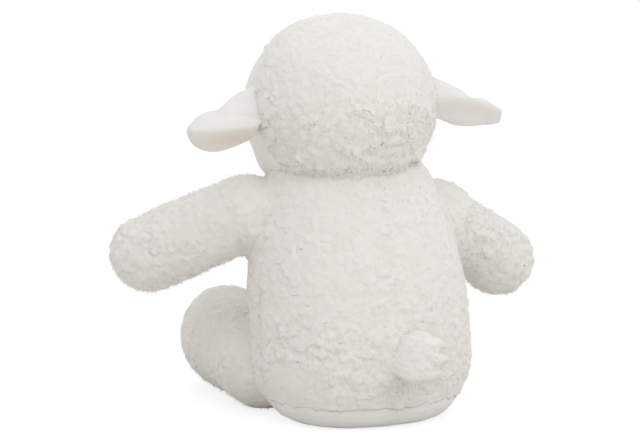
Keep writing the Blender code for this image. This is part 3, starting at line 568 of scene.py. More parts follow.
@dataclass(frozen=True)
class HardFinish:
    """A smooth plastic finish with faint moulding marks."""

    name: str
    light: tuple[float, float, float]
    dark: tuple[float, float, float]
    roughness: float
    coat: float = 0.0

    def material(self) -> bpy.types.Material:
        """Makes the material, or finds it if it was made before.

        Returns:
            A Principled material with a slightly drifting colour and roughness.
        """
        found = bpy.data.materials.get(f"{self.name}_finish")
        if found:
            return found
        made, tree, shader, place, tint = begun_material(self, 300.0)
        marks = tree.add("ShaderNodeTexNoise", {"Vector": place, "Scale": 700.0, "Detail": 2.0})
        rough = tree.add(
            "ShaderNodeMapRange",
            {"Value": marks.outputs["Fac"], "To Min": self.roughness * 0.8, "To Max": self.roughness * 1.3},
        )
        tree.set(shader.inputs["Base Color"], tint.outputs["Color"])
        tree.set(shader.inputs["Roughness"], rough.outputs[0])
        shader.inputs["Coat Weight"].default_value = self.coat
        shader.inputs["Coat Roughness"].default_value = 0.04
        return made


EYE = HardFinish("eye_gloss", (0.016, 0.011, 0.009), (0.010, 0.007, 0.006), 0.10, coat=0.8)
WASHER = HardFinish("washer_plastic", (0.76, 0.76, 0.75), (0.70, 0.70, 0.69), 0.40)


# Pile


@dataclass(frozen=True)
class Pile:
    """Curly pile: clumps, tufts on them and strands on those, leaning over at random."""

    clump: float = 0.0070
    tuft: float = 0.0033
    strand: float = 0.0012
    rise: float = 0.0030
    sunk: float = 0.0010
    lean: float = 0.0024
    droop: float = 0.8

    @staticmethod
    def shingle(gap: Array, towards: Array, size: float) -> Array:
        """A clump's height: it rises from its upper border to its lower one, and drops off steeply there."""
        low = ramp(0.5 + 0.8 * towards[..., 2] / size, 0, 1)
        return (1 - (1 - np.clip(gap / 0.55, 0, 1)) ** 2) * (0.34 + 0.66 * low)

    @staticmethod
    def puffs(points: Array, size: float, seed: int) -> Array:
        """Rounded puffs with curved creases between them: the root of a noise's square plus a little."""
        return np.minimum(1.8 * (np.sqrt(smooth_noise(points, size, seed) ** 2 + 0.006) - 0.0775), 1)

    def relief(self, points: Array, seed: int) -> tuple[Array, Array]:
        """Works out how far the pile stands up.

        Formula: puffs and shingled cells of two sizes, whose places are first warped by noise, plus fine noise that
        is drawn out along a way of its own in each clump.

        Args:
            points: Points on the fabric.
            seed: Picks another pile.

        Returns:
            The height from 0 to 1, and the way that each clump leans.
        """
        warped = points + 0.0024 * noise_vectors(points, 0.010, seed) + 0.0011 * noise_vectors(points, 0.004, seed + 1)
        gap, owner, towards = cell_noise(warped, self.clump, seed + 2)
        big = self.shingle(gap, towards, self.clump) * (0.55 + 0.45 * hashed(owner, seed + 3))
        puff = self.puffs(warped, self.clump, seed + 11)
        curl = self.puffs(warped, self.tuft, seed + 13)
        turn = 2 * math.pi * hashed(owner, seed + 4)
        tilt = 2 * hashed(owner, seed + 5) - 1
        flat = np.sqrt(1 - tilt * tilt)
        way = np.stack([flat * np.cos(turn), flat * np.sin(turn), tilt], -1)
        gap, owner, aside = cell_noise(warped, self.tuft, seed + 6)
        small = self.shingle(gap, aside, self.tuft) * (0.4 + 0.6 * hashed(owner, seed + 7))
        along = (points * way).sum(-1, keepdims=True)
        strands = smooth_noise(points - 0.75 * way * along, self.strand, seed + 8)
        wide = smooth_noise(points, 0.022, seed + 9)
        rough = 0.55 + 0.45 * ramp(smooth_noise(points, 0.030, seed + 10), -0.5, 0.4)
        height = rough * (0.46 * puff + 0.28 * curl + 0.10 * big + 0.07 * small + 0.08 * (strands + 1) / 2)
        height += 0.20 * (wide + 1) / 2
        return height, (0.5 * way - self.droop * UP) * (0.3 + big[..., None]) - 0.3 * unit(towards)

    def raised(
        self,
        base: Array,
        normals: Array,
        seed: int,
        mask: Array | float = 1.0,
        place: Array | None = None,
    ) -> tuple:
        """Lifts a grid into pile.

        Args:
            base: Points of the fabric's outside, with the pile pressed flat.
            normals: Its outward normals.
            seed: Picks another pile.
            mask: How much of the pile stands, from 0 to 1, at each point.
            place: Where the pattern is read, if not at the points.

        Returns:
            The raised points, the depth of each below the pile's tips, and the clumps' lean along the surface.
        """
        height, way = self.relief(base if place is None else place, seed)
        aside = way - (way * normals).sum(-1, keepdims=True) * normals
        mask = np.broadcast_to(mask, height.shape)
        lift = (height * self.rise - self.sunk) * mask
        raised = base + normals * lift[..., None] + aside * (self.lean * height * mask)[..., None]
        return raised, 1 - height, aside


@dataclass(frozen=True)
class Locks:
    """Loose locks that stand out of the pile and break its outline."""

    spacing: float = 0.0016
    length: float = 0.0046
    width: float = 0.00034
    sunk: float = 0.0007
    wild: float = 0.35

    def grown(
        self, outer: Array, normals: Array, lean: Array, mask: Array, seed: int
    ) -> tuple[Array, Array, Array]:
        """Plants locks on a grid.

        Formula: each lock is a bent spike of three-cornered section, from a root on the surface, through a middle
        that leans with its clump, to a tip that turns back down. Roots are drawn at random by area.

        Args:
            outer: The pile's points by row and column.
            normals: The fabric's normals there.
            lean: The clumps' lean there.
            mask: How much of the pile stands there.
            seed: Picks other locks.

        Returns:
            The locks' points, their triangles, and the depth at each point, which the finish paints as shade, darkest
            at the root.
        """
        rng = np.random.default_rng(seed)
        rows, columns = outer.shape[:2]
        sides = np.linalg.norm(np.cross(np.diff(outer, axis=0)[:, :-1], np.diff(outer, axis=1)[:-1]), axis=-1)
        mask = np.minimum(mask, 1)
        area = (sides * mask[:-1, :-1]).ravel()
        count = int(area.sum() / self.spacing**2)
        if count == 0:
            return np.zeros((0, 3)), np.zeros((0, 3), int), np.zeros(0)
        chosen = rng.choice(len(area), count, p=area / area.sum())
        row, column = np.divmod(chosen, columns - 1)
        jitter = rng.random((count, 2, 1))
        root = outer[row, column] + jitter[:, 0] * (outer[row + 1, column] - outer[row, column])
        root += jitter[:, 1] * (outer[row, column + 1] - outer[row, column])
        normal, aside = normals[row, column], lean[row, column]
        size = self.length * (0.55 + 0.75 * rng.random((count, 1))) * (0.4 + 0.6 * mask[row, column][:, None])
        first = unit(0.42 * normal + 0.9 * aside + self.wild * rng.normal(size=(count, 3)) - 0.15 * UP)
        second = unit(first + 0.5 * rng.normal(size=(count, 3)) - 0.5 * normal - 0.15 * UP)
        root = root - self.sunk * normal
        middle = root + first * size * 0.5
        tip = middle + second * size * 0.5
        across = unit(np.cross(first, normal))
        over = np.cross(across, first)
        half = self.width * (0.6 + 0.7 * rng.random((count, 1))) / 2
        corners = []
        for centre, share in ((root, 1.0), (middle, 0.8)):
            for angle in (0.5, 2.6, 4.7):
                corners.append(centre + share * half * (math.cos(angle) * across + 0.5 * math.sin(angle) * over))
        points = np.stack(corners + [tip], 1)
        pattern = np.array(
            [(0, 2, 1), (0, 1, 4), (0, 4, 3), (1, 2, 5), (1, 5, 4)]
            + [(2, 0, 3), (2, 3, 5), (3, 4, 6), (4, 5, 6), (5, 3, 6)]
        )
        faces = (pattern[None] + 7 * np.arange(count)[:, None, None]).reshape(-1, 3)
        # Painted shade: darkest at the root, lightest at the tip.
        depth = np.tile(np.array((0.5, 0.5, 0.5, 0.25, 0.25, 0.25, 0.1)), count)
        return points.reshape(-1, 3), faces, depth


FLEECE = Pile()
LOCKS = Locks()
TUFT = Locks(spacing=0.0020, length=0.0060, width=0.0005, wild=0.14)
FRINGE = Locks(spacing=0.0013, length=0.0046, width=0.0007, wild=0.65)
WOOL_THICKNESS = 0.0040
VELOUR_THICKNESS = 0.0020
SEAM_GAP = 0.0003
FLOOR_CLEAR = 0.0003
GRAIN = 0.0010  # spacing of the points on a wool panel


@dataclass
class Panel:
    """A sewn panel: an outer grid, the fabric's inside behind it, and its pile."""

    name: str
    grid: Array
    middle: Array
    finish: Finish
    thickness: float = WOOL_THICKNESS
    mask: Array | float = 1.0
    shaped: object = None
    locks: bool = True
    coarser: int = 4
    ripple: float = 0.00035
    hang: str = ""
    hang_depth: float = 0.0022
    fringe: Array | None = None
    fringe_way: Array | float = 0.0
    swell: Array | float = 0.0
    # Painted shade added to the pile's depth, for a panel that lies in shade.
    shade: float = 0.0
    normals: Array | None = None

    def hung(self, outer: Array, normals: Array) -> Array:
        """Lets the pile along the first or last row hang over the seam there.

        Formula: points move towards the seam by a noisy depth times s e^(1 - s), where s is their distance from it
        over 1.3 mm, and out by a third of that.
        """
        rows = self.grid if self.hang == "first" else self.grid[::-1]
        run = np.cumsum(np.linalg.norm(np.diff(rows, axis=0, prepend=rows[:1]), axis=-1), axis=0)
        way = -unit(np.gradient(rows, axis=0))
        if self.hang == "last":
            run, way = run[::-1], way[::-1]
        share = run / (1.3 * MM)
        noise = 0.75 * smooth_noise(outer, 0.006, 51) + 0.35 * smooth_noise(outer, 0.002, 52)
        drop = self.hang_depth * np.maximum(1 + noise, 0) * share * np.exp(1 - share)
        return outer + drop[..., None] * way + (drop * 0.35)[..., None] * normals

    def build(self) -> bpy.types.Object:
        """Makes the panel's closed shell, with pile and locks if it is wool.

        Returns:
            The object, with a depth attribute that its finish paints as shade in the pile's hollows.
        """
        seed = sum(map(ord, self.name))
        normals = grid_normals(self.grid, self.middle) if self.normals is None else self.normals
        mask = np.broadcast_to(self.mask, self.grid.shape[:2])
        if self.finish is WOOL:
            outer, depth, lean = FLEECE.raised(self.grid, normals, 7, mask)
            # Painted shade: a panel in shade gets a deeper, darker tone.
            depth = depth + self.shade
            if self.hang:
                outer = self.hung(outer, normals)
        else:
            bumps = smooth_noise(self.grid, 0.011, 5) + 0.5 * smooth_noise(self.grid, 0.005, 6)
            outer = self.grid + normals * (self.ripple * bumps * mask)[..., None]
            depth, lean = np.zeros(mask.shape), np.zeros_like(self.grid)
        rows = np.unique(np.append(np.arange(0, self.grid.shape[0], self.coarser), self.grid.shape[0] - 1))
        columns = np.unique(np.append(np.arange(0, self.grid.shape[1], self.coarser), self.grid.shape[1] - 1))
        outer = outer + normals * np.broadcast_to(self.swell, mask.shape)[..., None]
        inner = (self.grid - normals * self.thickness)[np.ix_(rows, columns)]
        if self.shaped is not None:
            outer = self.shaped(outer, 0.0)
            inner = self.shaped(inner, self.thickness)
        quads, triangles = shell_faces(outer.shape[:2], inner.shape[:2])
        points = np.concatenate([outer.reshape(-1, 3), inner.reshape(-1, 3)])
        depths = np.concatenate([depth.ravel(), np.ones(inner.shape[0] * inner.shape[1])])
        if self.finish is WOOL and self.locks:
            more, faces, deep = LOCKS.grown(outer, normals, lean, mask, seed)
            more[:, 2] = np.maximum(more[:, 2], FLOOR_CLEAR)
            triangles = np.concatenate([triangles, faces + len(points)])
            points = np.concatenate([points, more])
            depths = np.concatenate([depths, deep])
            if self.fringe is not None:
                lean = self.fringe_way - (self.fringe_way * normals).sum(-1, keepdims=True) * normals
                more, faces, deep = FRINGE.grown(outer, normals, lean, self.fringe, seed + 1)
                triangles = np.concatenate([triangles, faces + len(points)])
                points = np.concatenate([points, more])
                depths = np.concatenate([depths, deep])
        made = mesh_object(self.name, points, quads, facets=triangles)
        attribute = made.data.attributes.new("depth", "FLOAT", "POINT")
        attribute.data.foreach_set("value", depths.astype(np.float32))
        made.data.materials.append(self.finish.material())
        return closed_up(made)


def wad(name: str, grid: Array, middle: Array, finish: Finish, lumps: float = 0.0006) -> bpy.types.Object:
    """Makes a closed wad of filling from a grid that is closed round and at both ends.

    Formula: the grid is drawn in by smooth noise of two sizes, so that it stays within its space.

    Args:
        name: The object's name.
        grid: Points by row and column, the last column equal to the first, the end rows drawn to poles.
        middle: A point inside.
        finish: Its finish.
        lumps: How deep the noise goes, in metres.

    Returns:
        The object.
    """
    normals = grid_normals(grid, middle)
    height = (smooth_noise(grid, 0.009, 21) + 0.6 * smooth_noise(grid, 0.004, 22)) / 1.6
    height[:, -1] = height[:, 0]
    normals[:, -1] = normals[:, 0]
    points = grid + normals * (lumps * (height - 1))[..., None]
    made = mesh_object(name, points.reshape(-1, 3), grid_quads(*grid.shape[:2]))
    # Painted shade: the depth attribute darkens the filling's dips.
    attribute = made.data.attributes.new("depth", "FLOAT", "POINT")
    attribute.data.foreach_set("value", ((1 - height) / 2).astype(np.float32).ravel())
    made.data.materials.append(finish.material())
    return closed_up(made)


def revolved(
    name: str, profile: Array, origin: Array, axis: Array, finish: HardFinish, sides: int = 48
) -> bpy.types.Object:
    """Turns a profile about an axis.

    Formula: each (radius, height) pair becomes a circle about the axis, at that height from the origin.

    Args:
        name: The object's name.
        profile: Pairs of radius and height. If the last isn't the first, both ends lie on the axis.
        origin: Where the heights count from.
        axis: The unit vector that they count along.
        finish: Its finish.
        sides: Points round the circle.

    Returns:
        The object.
    """
    across = unit(np.cross(axis, UP + 0.01 * np.array((1.0, 0.0, 0.0))))
    over = np.cross(axis, across)
    angle = np.linspace(0, 2 * math.pi, sides + 1)
    angle[-1] = 0
    ring = np.cos(angle)[:, None] * across + np.sin(angle)[:, None] * over
    grid = origin + profile[:, None, 0:1] * ring[None] + profile[:, None, 1:2] * axis
    made = mesh_object(name, grid.reshape(-1, 3), grid_quads(*grid.shape[:2]))
    made.data.materials.append(finish.material())
    return closed_up(made)


def placed(piece: bpy.types.Object, body: str, slot: str, *nodes: str, fill: float | None = None) -> None:
    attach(piece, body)
    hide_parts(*nodes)
    LOG.info("%s: %d faces on %s", piece.name, len(piece.data.polygons), body)


def bent(
    piece: bpy.types.Object,
    bodies: tuple[str, str],
    node: str,
) -> None:
    """Bakes a piece's place into its mesh and stands it for a node, naming the two bodies that it lies between in the
    log.
    """
    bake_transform(piece)
    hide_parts(node)
    LOG.info("%s: %d faces between %s and %s", piece.name, len(piece.data.polygons), *bodies)


def pressed_back(
    points: Array, origin: Array, axis: Array, radius: float, hollow: float = 1.0
) -> Array:
    """Presses a socket into a surface.

    Formula: a point nearer the axis than the radius, and further along it than the back of a ball about the origin,
    moves back along the axis onto that ball, or onto its flat back plane where hollow is 0.

    Args:
        points: Points of the surface.
        origin: The middle of the ball that sits in the socket.
        axis: The way that the limb leaves, as a unit vector.
        radius: The ball's radius with its clearance.
        hollow: 1 for a ball, and 0 for a flat back through the origin.

    Returns:
        The points, pressed.
    """
    from_origin = points - origin
    along = from_origin @ axis
    aside = np.linalg.norm(from_origin - along[..., None] * axis, axis=-1)
    back = -hollow * np.sqrt(np.maximum(radius**2 - aside**2, 0))
    move = np.where((aside < radius) & (along > back), back - along, 0)
    return points + move[..., None] * axis


def clear_of_ball(points: Array, origin: Array, radius: Array | float) -> Array:
    """Moves points inside a ball straight out onto it."""
    from_origin = points - origin
    away = np.linalg.norm(from_origin, axis=-1, keepdims=True)
    return origin + from_origin * np.maximum(away, radius) / np.maximum(away, 1e-9)


def above_floor(points: Array, floor: float = FLOOR_CLEAR) -> Array:
    """Presses points flat where they would reach below a floor."""
    points = points.copy()
    points[..., 2] = np.maximum(points[..., 2], floor)
    return points


def filled_crease(apart: Array, reach: float) -> Array:
    """How far a skin swells beside another that it is sewn to.

    Formula: a quarter of the reach where they meet, times (1 - apart / reach)^2 away from there, which rounds the
    crease between two surfaces that both do it.
    """
    return reach / 4 * np.clip(1 - np.maximum(apart, 0) / reach, 0, 1) ** 2


# Filling by Cloth


CAGE = 0.0050  # spacing of the points of a cage


def sampled(table: Array, row: Array, turn: Array) -> Array:
    """Reads a table between its points.

    Formula: the four entries round each place, blended by 3f^2 - 2f^3 along the rows and round the columns.

    Args:
        table: Entries by row and column, the first column following the last.
        row: Shares of the way from the first row to the last.
        turn: Shares of the way round.

    Returns:
        The entries there.
    """
    rows, columns = table.shape[:2]
    row, turn = np.clip(row, 0, 1) * (rows - 1), turn % 1 * columns
    above, left = np.minimum(row.astype(int), rows - 2), turn.astype(int) % columns
    down, aside = ramp(row - above, 0, 1)[..., None], ramp(turn - np.floor(turn), 0, 1)[..., None]
    right = (left + 1) % columns
    first = table[above, left] * (1 - aside) + table[above, right] * aside
    second = table[above + 1, left] * (1 - aside) + table[above + 1, right] * aside
    return first * (1 - down) + second * down


@dataclass
class Cage:
    """A coarse closed skin that Cloth fills, to find how the fabric gives between its seams."""

    grid: Array
    held: Array
    free: Array
    pressure: float = 220.0
    mass: float = 0.01
    stiffness: float = 1.0
    bending: float = 0.01
    frames: int = 20
    cap: float = 0.0030

    def skin(self) -> bpy.types.Object:
        """Makes the cage's mesh: rings of quads between two poles."""
        inner = self.grid[1:-1].reshape(-1, 3)
        ring = np.arange(len(inner)).reshape(-1, self.grid.shape[1])
        beside = np.roll(ring, -1, axis=1)
        quads = np.stack([ring[:-1], beside[:-1], beside[1:], ring[1:]], -1).reshape(-1, 4)
        first, last = np.full(ring.shape[1], len(inner)), np.full(ring.shape[1], len(inner) + 1)
        ends = [np.stack([beside[0], ring[0], first], -1), np.stack([ring[-1], beside[-1], last], -1)]
        points = np.concatenate([inner, self.grid[:1, 0], self.grid[-1:, 0]])
        made = mesh_object("cage", points, quads, np.concatenate(ends))
        shape = bmesh.new()
        shape.from_mesh(made.data)
        bmesh.ops.recalc_face_normals(shape, faces=shape.faces)
        shape.to_mesh(made.data)
        shape.free()
        return made

    def give(self) -> Array:
        """Fills the cage by Cloth's pressure, without gravity, while its seams are held.

        Formula: each point's move, up to the cap, less the mean swelling along the normals, so that the outline
        stays, times how free the point is.

        Returns:
            The moves by row and column, even round each pole.
        """
        made = self.skin()
        count = len(made.data.vertices)
        group = made.vertex_groups.new(name="held")
        group.add(np.append(np.flatnonzero(self.held[1:-1]), (count - 2, count - 1)).tolist(), 1.0, "REPLACE")
        cloth = made.modifiers.new("filling", "CLOTH")
        cloth.settings.vertex_group_mass = group.name
        cloth.settings.use_pressure = True
        cloth.settings.uniform_pressure_force = self.pressure
        cloth.settings.mass = self.mass
        cloth.settings.tension_stiffness = self.stiffness
        cloth.settings.compression_stiffness = self.stiffness
        cloth.settings.shear_stiffness = self.stiffness
        cloth.settings.bending_stiffness = self.bending
        cloth.settings.effector_weights.gravity = 0.0
        cloth.point_cache.frame_start, cloth.point_cache.frame_end = 1, self.frames
        for moment in range(1, self.frames + 1):
            bpy.context.scene.frame_set(moment)
        solved = made.evaluated_get(bpy.context.evaluated_depsgraph_get()).data
        places = np.empty(count * 3, np.float32)
        solved.vertices.foreach_get("co", places)
        mesh = made.data
        bpy.data.objects.remove(made)
        bpy.data.meshes.remove(mesh)
        bpy.context.scene.frame_set(1)
        moved = np.zeros(self.grid.shape)
        moved[1:-1] = places[: 3 * (count - 2)].reshape(moved[1:-1].shape) - self.grid[1:-1]
        moved *= np.minimum(1, self.cap / np.maximum(np.linalg.norm(moved, axis=-1, keepdims=True), 1e-9))
        normals = grid_normals(self.grid, self.grid.mean(axis=(0, 1)))
        swelling = ((moved * normals).sum(-1) * self.free).sum() / self.free.sum()
        LOG.info("cage of %d points: mean swelling %.2f mm", count, swelling / MM)
        moved = (moved - swelling * normals) * self.free[..., None]
        moved[0], moved[-1] = moved[0].mean(axis=0), moved[-1].mean(axis=0)
        return moved


# Sub-assemblies


@dataclass
class Limb:
    """A stuffed limb along its own X: where it starts, how it points and the radii along it."""

    name: str
    side: Side
    origin: Array
    way: Array
    ball: float
    along: Array
    half_width: Array
    half_height: Array
    bend_end: float
    opening: float = 0.0120
    crease: float = 0.0090
    dip: float = 0.0
    strength: float = 0.9
    # Painted shade added to the limb's pile, for a limb that lies in shade.
    shade: float = 0.0
    give: Array | None = None

    @property
    def axes(self) -> Array:
        """The limb's own axes as rows: along it, aside, and as near up as that allows."""
        aside = unit(np.cross(UP, self.way))
        return np.stack([self.way, aside, np.cross(self.way, aside)])

    def surface(self, share: Array, angle: Array, inset: float = 0.0) -> Array:
        """Points of the limb's skin.

        Formula: an ellipse about the limb's axis at each share of the outline's length, with the outline's half
        widths and half heights there, each drawn in by the inset along the outline's normal.

        Args:
            share: Share of the outline's length from the root's pole to the tip's pole.
            angle: Angle round the axis from aside towards up.
            inset: How far under the skin.

        Returns:
            Points by share and angle.
        """
        step = np.hypot(np.diff(self.along), np.diff(self.half_height))
        length = np.append(0, np.cumsum(step))
        at = share * length[-1]
        x, wide, tall = (np.interp(at, length, row) for row in (self.along, self.half_width, self.half_height))
        slope = np.arctan2(np.gradient(tall, at), np.gradient(x, at))
        x = x + inset * np.sin(slope)
        wide = np.maximum(wide - inset * np.cos(slope), 0)
        tall = np.maximum(tall - inset * np.cos(slope), 0)
        wide[share <= 0], tall[share <= 0] = 0, 0
        wide[share >= 1], tall[share >= 1] = 0, 0
        dip = self.dip * np.exp(-(((x - 0.7 * self.ball) / self.ball) ** 2))
        local = np.stack(
            [
                np.broadcast_to(x[:, None], (len(share), len(angle))),
                wide[:, None] * np.cos(angle)[None],
                tall[:, None] * np.sin(angle)[None] - dip[:, None] * np.maximum(np.sin(angle), 0)[None],
            ],
            -1,
        )
        points = self.origin + local @ self.axes
        if self.give is None:
            return points
        row, turn = np.meshgrid(share, angle / (2 * math.pi), indexing="ij")
        return points + sampled(self.give, row, turn)

    def settle(self) -> None:
        """Fills the limb by Cloth, with its long seams and its root held."""
        share = np.linspace(0, 1, int(self.length / CAGE))
        columns = 4 * int(math.pi * self.ball / CAGE / 2)
        angle = np.arange(columns) * 2 * math.pi / columns
        rooted = share < self.share_at(0.3 * self.ball)
        held = rooted[:, None] | (np.abs(np.cos(angle)) < 0.01)[None]
        free = ramp(share, self.share_at(0), self.share_at(self.bend_end)) * ramp(1 - share, 0.04, 0.20)
        grid = self.surface(share, angle)
        self.give = Cage(grid, held, free[:, None] + 0 * angle[None]).give()

    def outside(self, points: Array) -> Array:
        """How far points lie outside the skin, about: from the ball behind its middle, else from the axis."""
        away = points - self.origin
        along = away @ self.way
        aside = np.linalg.norm(away - along[..., None] * self.way, axis=-1)
        radius = np.interp(along, self.along, (self.half_width + self.half_height) / 2)
        return np.where(along < 0, np.linalg.norm(away, axis=-1) - self.ball, aside - radius)

    @property
    def length(self) -> float:
        """The length of the outline from pole to pole."""
        return float(np.hypot(np.diff(self.along), np.diff(self.half_height)).sum())

    def share_at(self, along: float) -> float:
        """The share of the outline's length at a place along the axis."""
        length = np.append(0, np.cumsum(np.hypot(np.diff(self.along), np.diff(self.half_height))))
        return float(np.interp(along, self.along, length) / length[-1])

    def rows(self, start: float, end: float, fine_from: float) -> Array:
        """Shares from start to end, wide apart in the hidden root and close past fine_from."""
        hidden = np.linspace(start, fine_from, max(int((fine_from - start) * self.length / (4 * GRAIN)), 3))[:-1]
        shown = np.linspace(fine_from, end, int((end - fine_from) * self.length / GRAIN))
        return np.concatenate([hidden, shown])

    def panels(self, start: float, end: float, flat: bool, torso: "Torso") -> None:
        """Makes the outer and inner wool panels from one share of the outline to another.

        Args:
            start: Where they start, at the opening in the root.
            end: Where they end.
            flat: Whether the limb lies flat on the floor.
            torso: The torso that the limb grows from.
        """
        share = self.rows(start, end, self.share_at(-0.2 * self.ball))
        columns = int(math.pi * self.ball / GRAIN)
        for word, sign in (("outer", self.side.value), ("inner", -self.side.value)):
            reach = past_ends(np.linspace(-math.pi / 2, math.pi / 2, columns))
            angle = reach if sign == 1 else math.pi - reach
            middle = self.origin + self.way * self.along.mean()
            grid, normals = trimmed(self.surface(share, angle), middle)
            angle = angle[1:-1]
            apart = torso.outside(grid)
            mask = self.strength * (0.15 + 0.85 * ramp(apart, -0.004, 0.001))
            seam = 1 - 0.1 * np.exp(-((np.cos(angle) * self.ball / 0.0016) ** 2))
            name = f"{self.name}_{self.side.word}_{word}"
            shaped = (lambda p, inset: above_floor(p, FLOOR_CLEAR + inset)) if flat else None
            panel = Panel(name, grid, middle, WOOL, mask=mask * seam[None], shaped=shaped)
            panel.swell, panel.shade, panel.normals = filled_crease(apart, self.crease), self.shade, normals
            bodies = ("torso", f"{self.name}_{self.side.word}")
            bent(panel.build(), bodies, name)

    def filling(self, flat: bool) -> None:
        """Makes the limb's filling, flattened where the limb lies on the floor."""
        inset = WOOL_THICKNESS + SEAM_GAP
        share = np.linspace(0, 1, int(self.length / (3 * GRAIN)))
        angle = np.linspace(0, 2 * math.pi, int(2 * math.pi * self.ball / (3 * GRAIN)))
        grid = self.surface(share, angle, inset)
        grid[:, -1] = grid[:, 0]
        if flat:
            grid = above_floor(grid, FLOOR_CLEAR + inset)
        name = f"{self.name}_{self.side.word}_stuffing"
        made = wad(name, grid, self.origin + self.way * self.along.mean(), STUFFING)
        bodies = ("torso", f"{self.name}_{self.side.word}")
        bent(made, bodies, name)


@dataclass
class Arms:
    """Both arms, held out, forwards and down."""

    ball: float = 0.0262
    reach: float = 0.0800
    middle: float = 0.0262
    end: float = 0.0268
    shoulder_side: float = 0.0730
    shoulder_forward: float = 0.0250
    shoulder_lean: float = 0.0045
    opening: float = 0.0120
    bend_end: float = 0.040
    left_shorter: float = 0.0015
    left_fuller: float = 0.0007
    right_shorter: float = 0.0035
    right_dip: float = 0.0042

    def limb(self, side: Side) -> Limb:
        """One arm.

        Formula: the outline is a ball, a straight run by way of the middle's radius, and a round end.
        """
        height = 0.1440 if side is Side.LEFT else 0.1355
        ahead, down = (34, 24) if side is Side.LEFT else (24, 31)
        ahead, down = math.radians(ahead), math.radians(down)
        flat = math.cos(down)
        way = np.array((side.value * flat * math.cos(ahead), -flat * math.sin(ahead), -math.sin(down)))
        origin = np.array((side.value * self.shoulder_side + self.shoulder_lean, -self.shoulder_forward, height))
        root = np.linspace(math.pi, math.pi / 2, 30)
        tip = np.linspace(math.pi / 2, 0, 30)
        run = np.linspace(0, 1, 20)[1:-1]
        reach = self.reach - (self.left_shorter if side is Side.LEFT else self.right_shorter)
        middle = self.middle + (self.left_fuller if side is Side.LEFT else 0)
        radius = smooth_profile(np.array((0, 0.5, 1.0)), np.array((self.ball, middle, self.end)), run)
        along = np.concatenate([self.ball * np.cos(root), run * reach, reach + self.end * np.cos(tip)])
        radii = np.concatenate([self.ball * np.sin(root), radius, self.end * np.sin(tip)])
        made = Limb("arm", side, origin, way, self.ball, along, radii, radii, self.bend_end)
        if side is Side.RIGHT:
            made.dip, made.crease = self.right_dip, 0.0130
        return made

    def build(self, limb: Limb, torso: "Torso") -> None:
        """Makes one arm's panels and filling."""
        root = math.asin(self.opening / self.ball) * self.ball / limb.length
        limb.panels(root, 1.0, False, torso)
        limb.filling(False)


@dataclass
class Legs:
    """Both legs, forwards along the floor, each with an upright foot and a smooth sole."""

    ball: float = 0.0345
    reach: float = 0.0730
    foot_half_height: float = 0.0378
    foot_half_width: float = 0.0343
    out: float = math.radians(5)
    hip_side: float = 0.0580
    hip_forward: float = 0.0420
    hip_height: float = 0.0335
    foot_height: float = 0.0385
    sole_out: float = 0.0250
    sole_bulge: float = 0.0045
    sole_seam_share: float = 0.88
    opening: float = 0.0120
    bend_end: float = 0.048
    crease: float = 0.0060
    strength: float = 0.75
    # Painted shade: the legs' wool is painted darker for the shade that they lie in.
    shade: float = 1.5

    def limb(self, side: Side) -> Limb:
        """One leg.

        Formula: the outline is a ball that swells to the foot and rounds off to a slightly domed sole.
        """
        rise = math.asin((self.foot_height - self.hip_height) / self.reach)
        flat = math.cos(rise)
        way = np.array((side.value * flat * math.sin(self.out), -flat * math.cos(self.out), math.sin(rise)))
        origin = np.array((side.value * self.hip_side, -self.hip_forward, self.hip_height))
        root = np.linspace(math.pi, math.pi / 2, 30)
        reach = np.array((0.0, 0.30, 0.62, 1.0))
        swell = np.array((0.0, 0.0, 0.42, 1.0))
        way_out = np.array((0.55, 0.88, 1.0, 1.0 + self.sole_bulge / self.sole_out))
        sizes = np.array((0.93, 0.80, 0.70, 0.0))
        knots = np.concatenate([reach * self.reach, self.reach + way_out * self.sole_out])
        rows = []
        for foot in (self.foot_half_width, self.foot_half_height):
            values = np.concatenate([self.ball + swell * (foot - self.ball), sizes * foot])
            rows.append((knots, values))
        past = np.linspace(0, 1, 40)
        cap = np.linspace(0, math.pi / 2, 16)[1:]
        along = np.concatenate([past * (knots[-2]), knots[-2] + (knots[-1] - knots[-2]) * np.sin(cap)])
        sized = []
        for places, values in rows:
            body = smooth_profile(places[:-1], values[:-1], past * places[-2])
            sized.append(np.concatenate([self.ball * np.sin(root)[:-1], body, values[-2] * np.cos(cap)]))
        along = np.concatenate([self.ball * np.cos(root)[:-1], along])
        made = Limb("leg", side, origin, way, self.ball, along, sized[0], sized[1], self.bend_end)
        made.crease, made.strength, made.shade = self.crease, self.strength, self.shade
        return made

    def build(self, limb: Limb, torso: "Torso") -> None:
        """Makes one leg's panels, sole and filling."""
        side = limb.side
        root = math.asin(self.opening / self.ball) * self.ball / limb.length
        seam = limb.share_at(self.reach + self.sole_seam_share * self.sole_out)
        gap = SEAM_GAP / limb.length
        limb.panels(root, seam - gap, True, torso)
        share = np.linspace(seam, 1.0, int((1 - seam) * limb.length / (2 * GRAIN)))
        angle = np.linspace(0, 2 * math.pi, int(2 * math.pi * self.ball / (1.5 * GRAIN)))
        grid = limb.surface(share, angle)
        grid[:, -1] = grid[:, 0]
        middle = limb.origin + limb.way * self.reach / 2
        normals = grid_normals(grid, middle)
        normals[:, -1] = normals[:, 0]
        outer = above_floor(grid - normals * 0.0004)
        inner = above_floor(grid - normals * WOOL_THICKNESS, FLOOR_CLEAR + WOOL_THICKNESS)
        both = np.concatenate([inner[::-1], outer[:1], outer])
        name = f"leg_{side.word}_sole"
        made = mesh_object(name, both.reshape(-1, 3), grid_quads(*both.shape[:2]))
        made.data.materials.append(VELOUR.material())
        placed(closed_up(made), f"leg_{side.word}", "white_velour", name, fill=0.7)
        limb.filling(True)


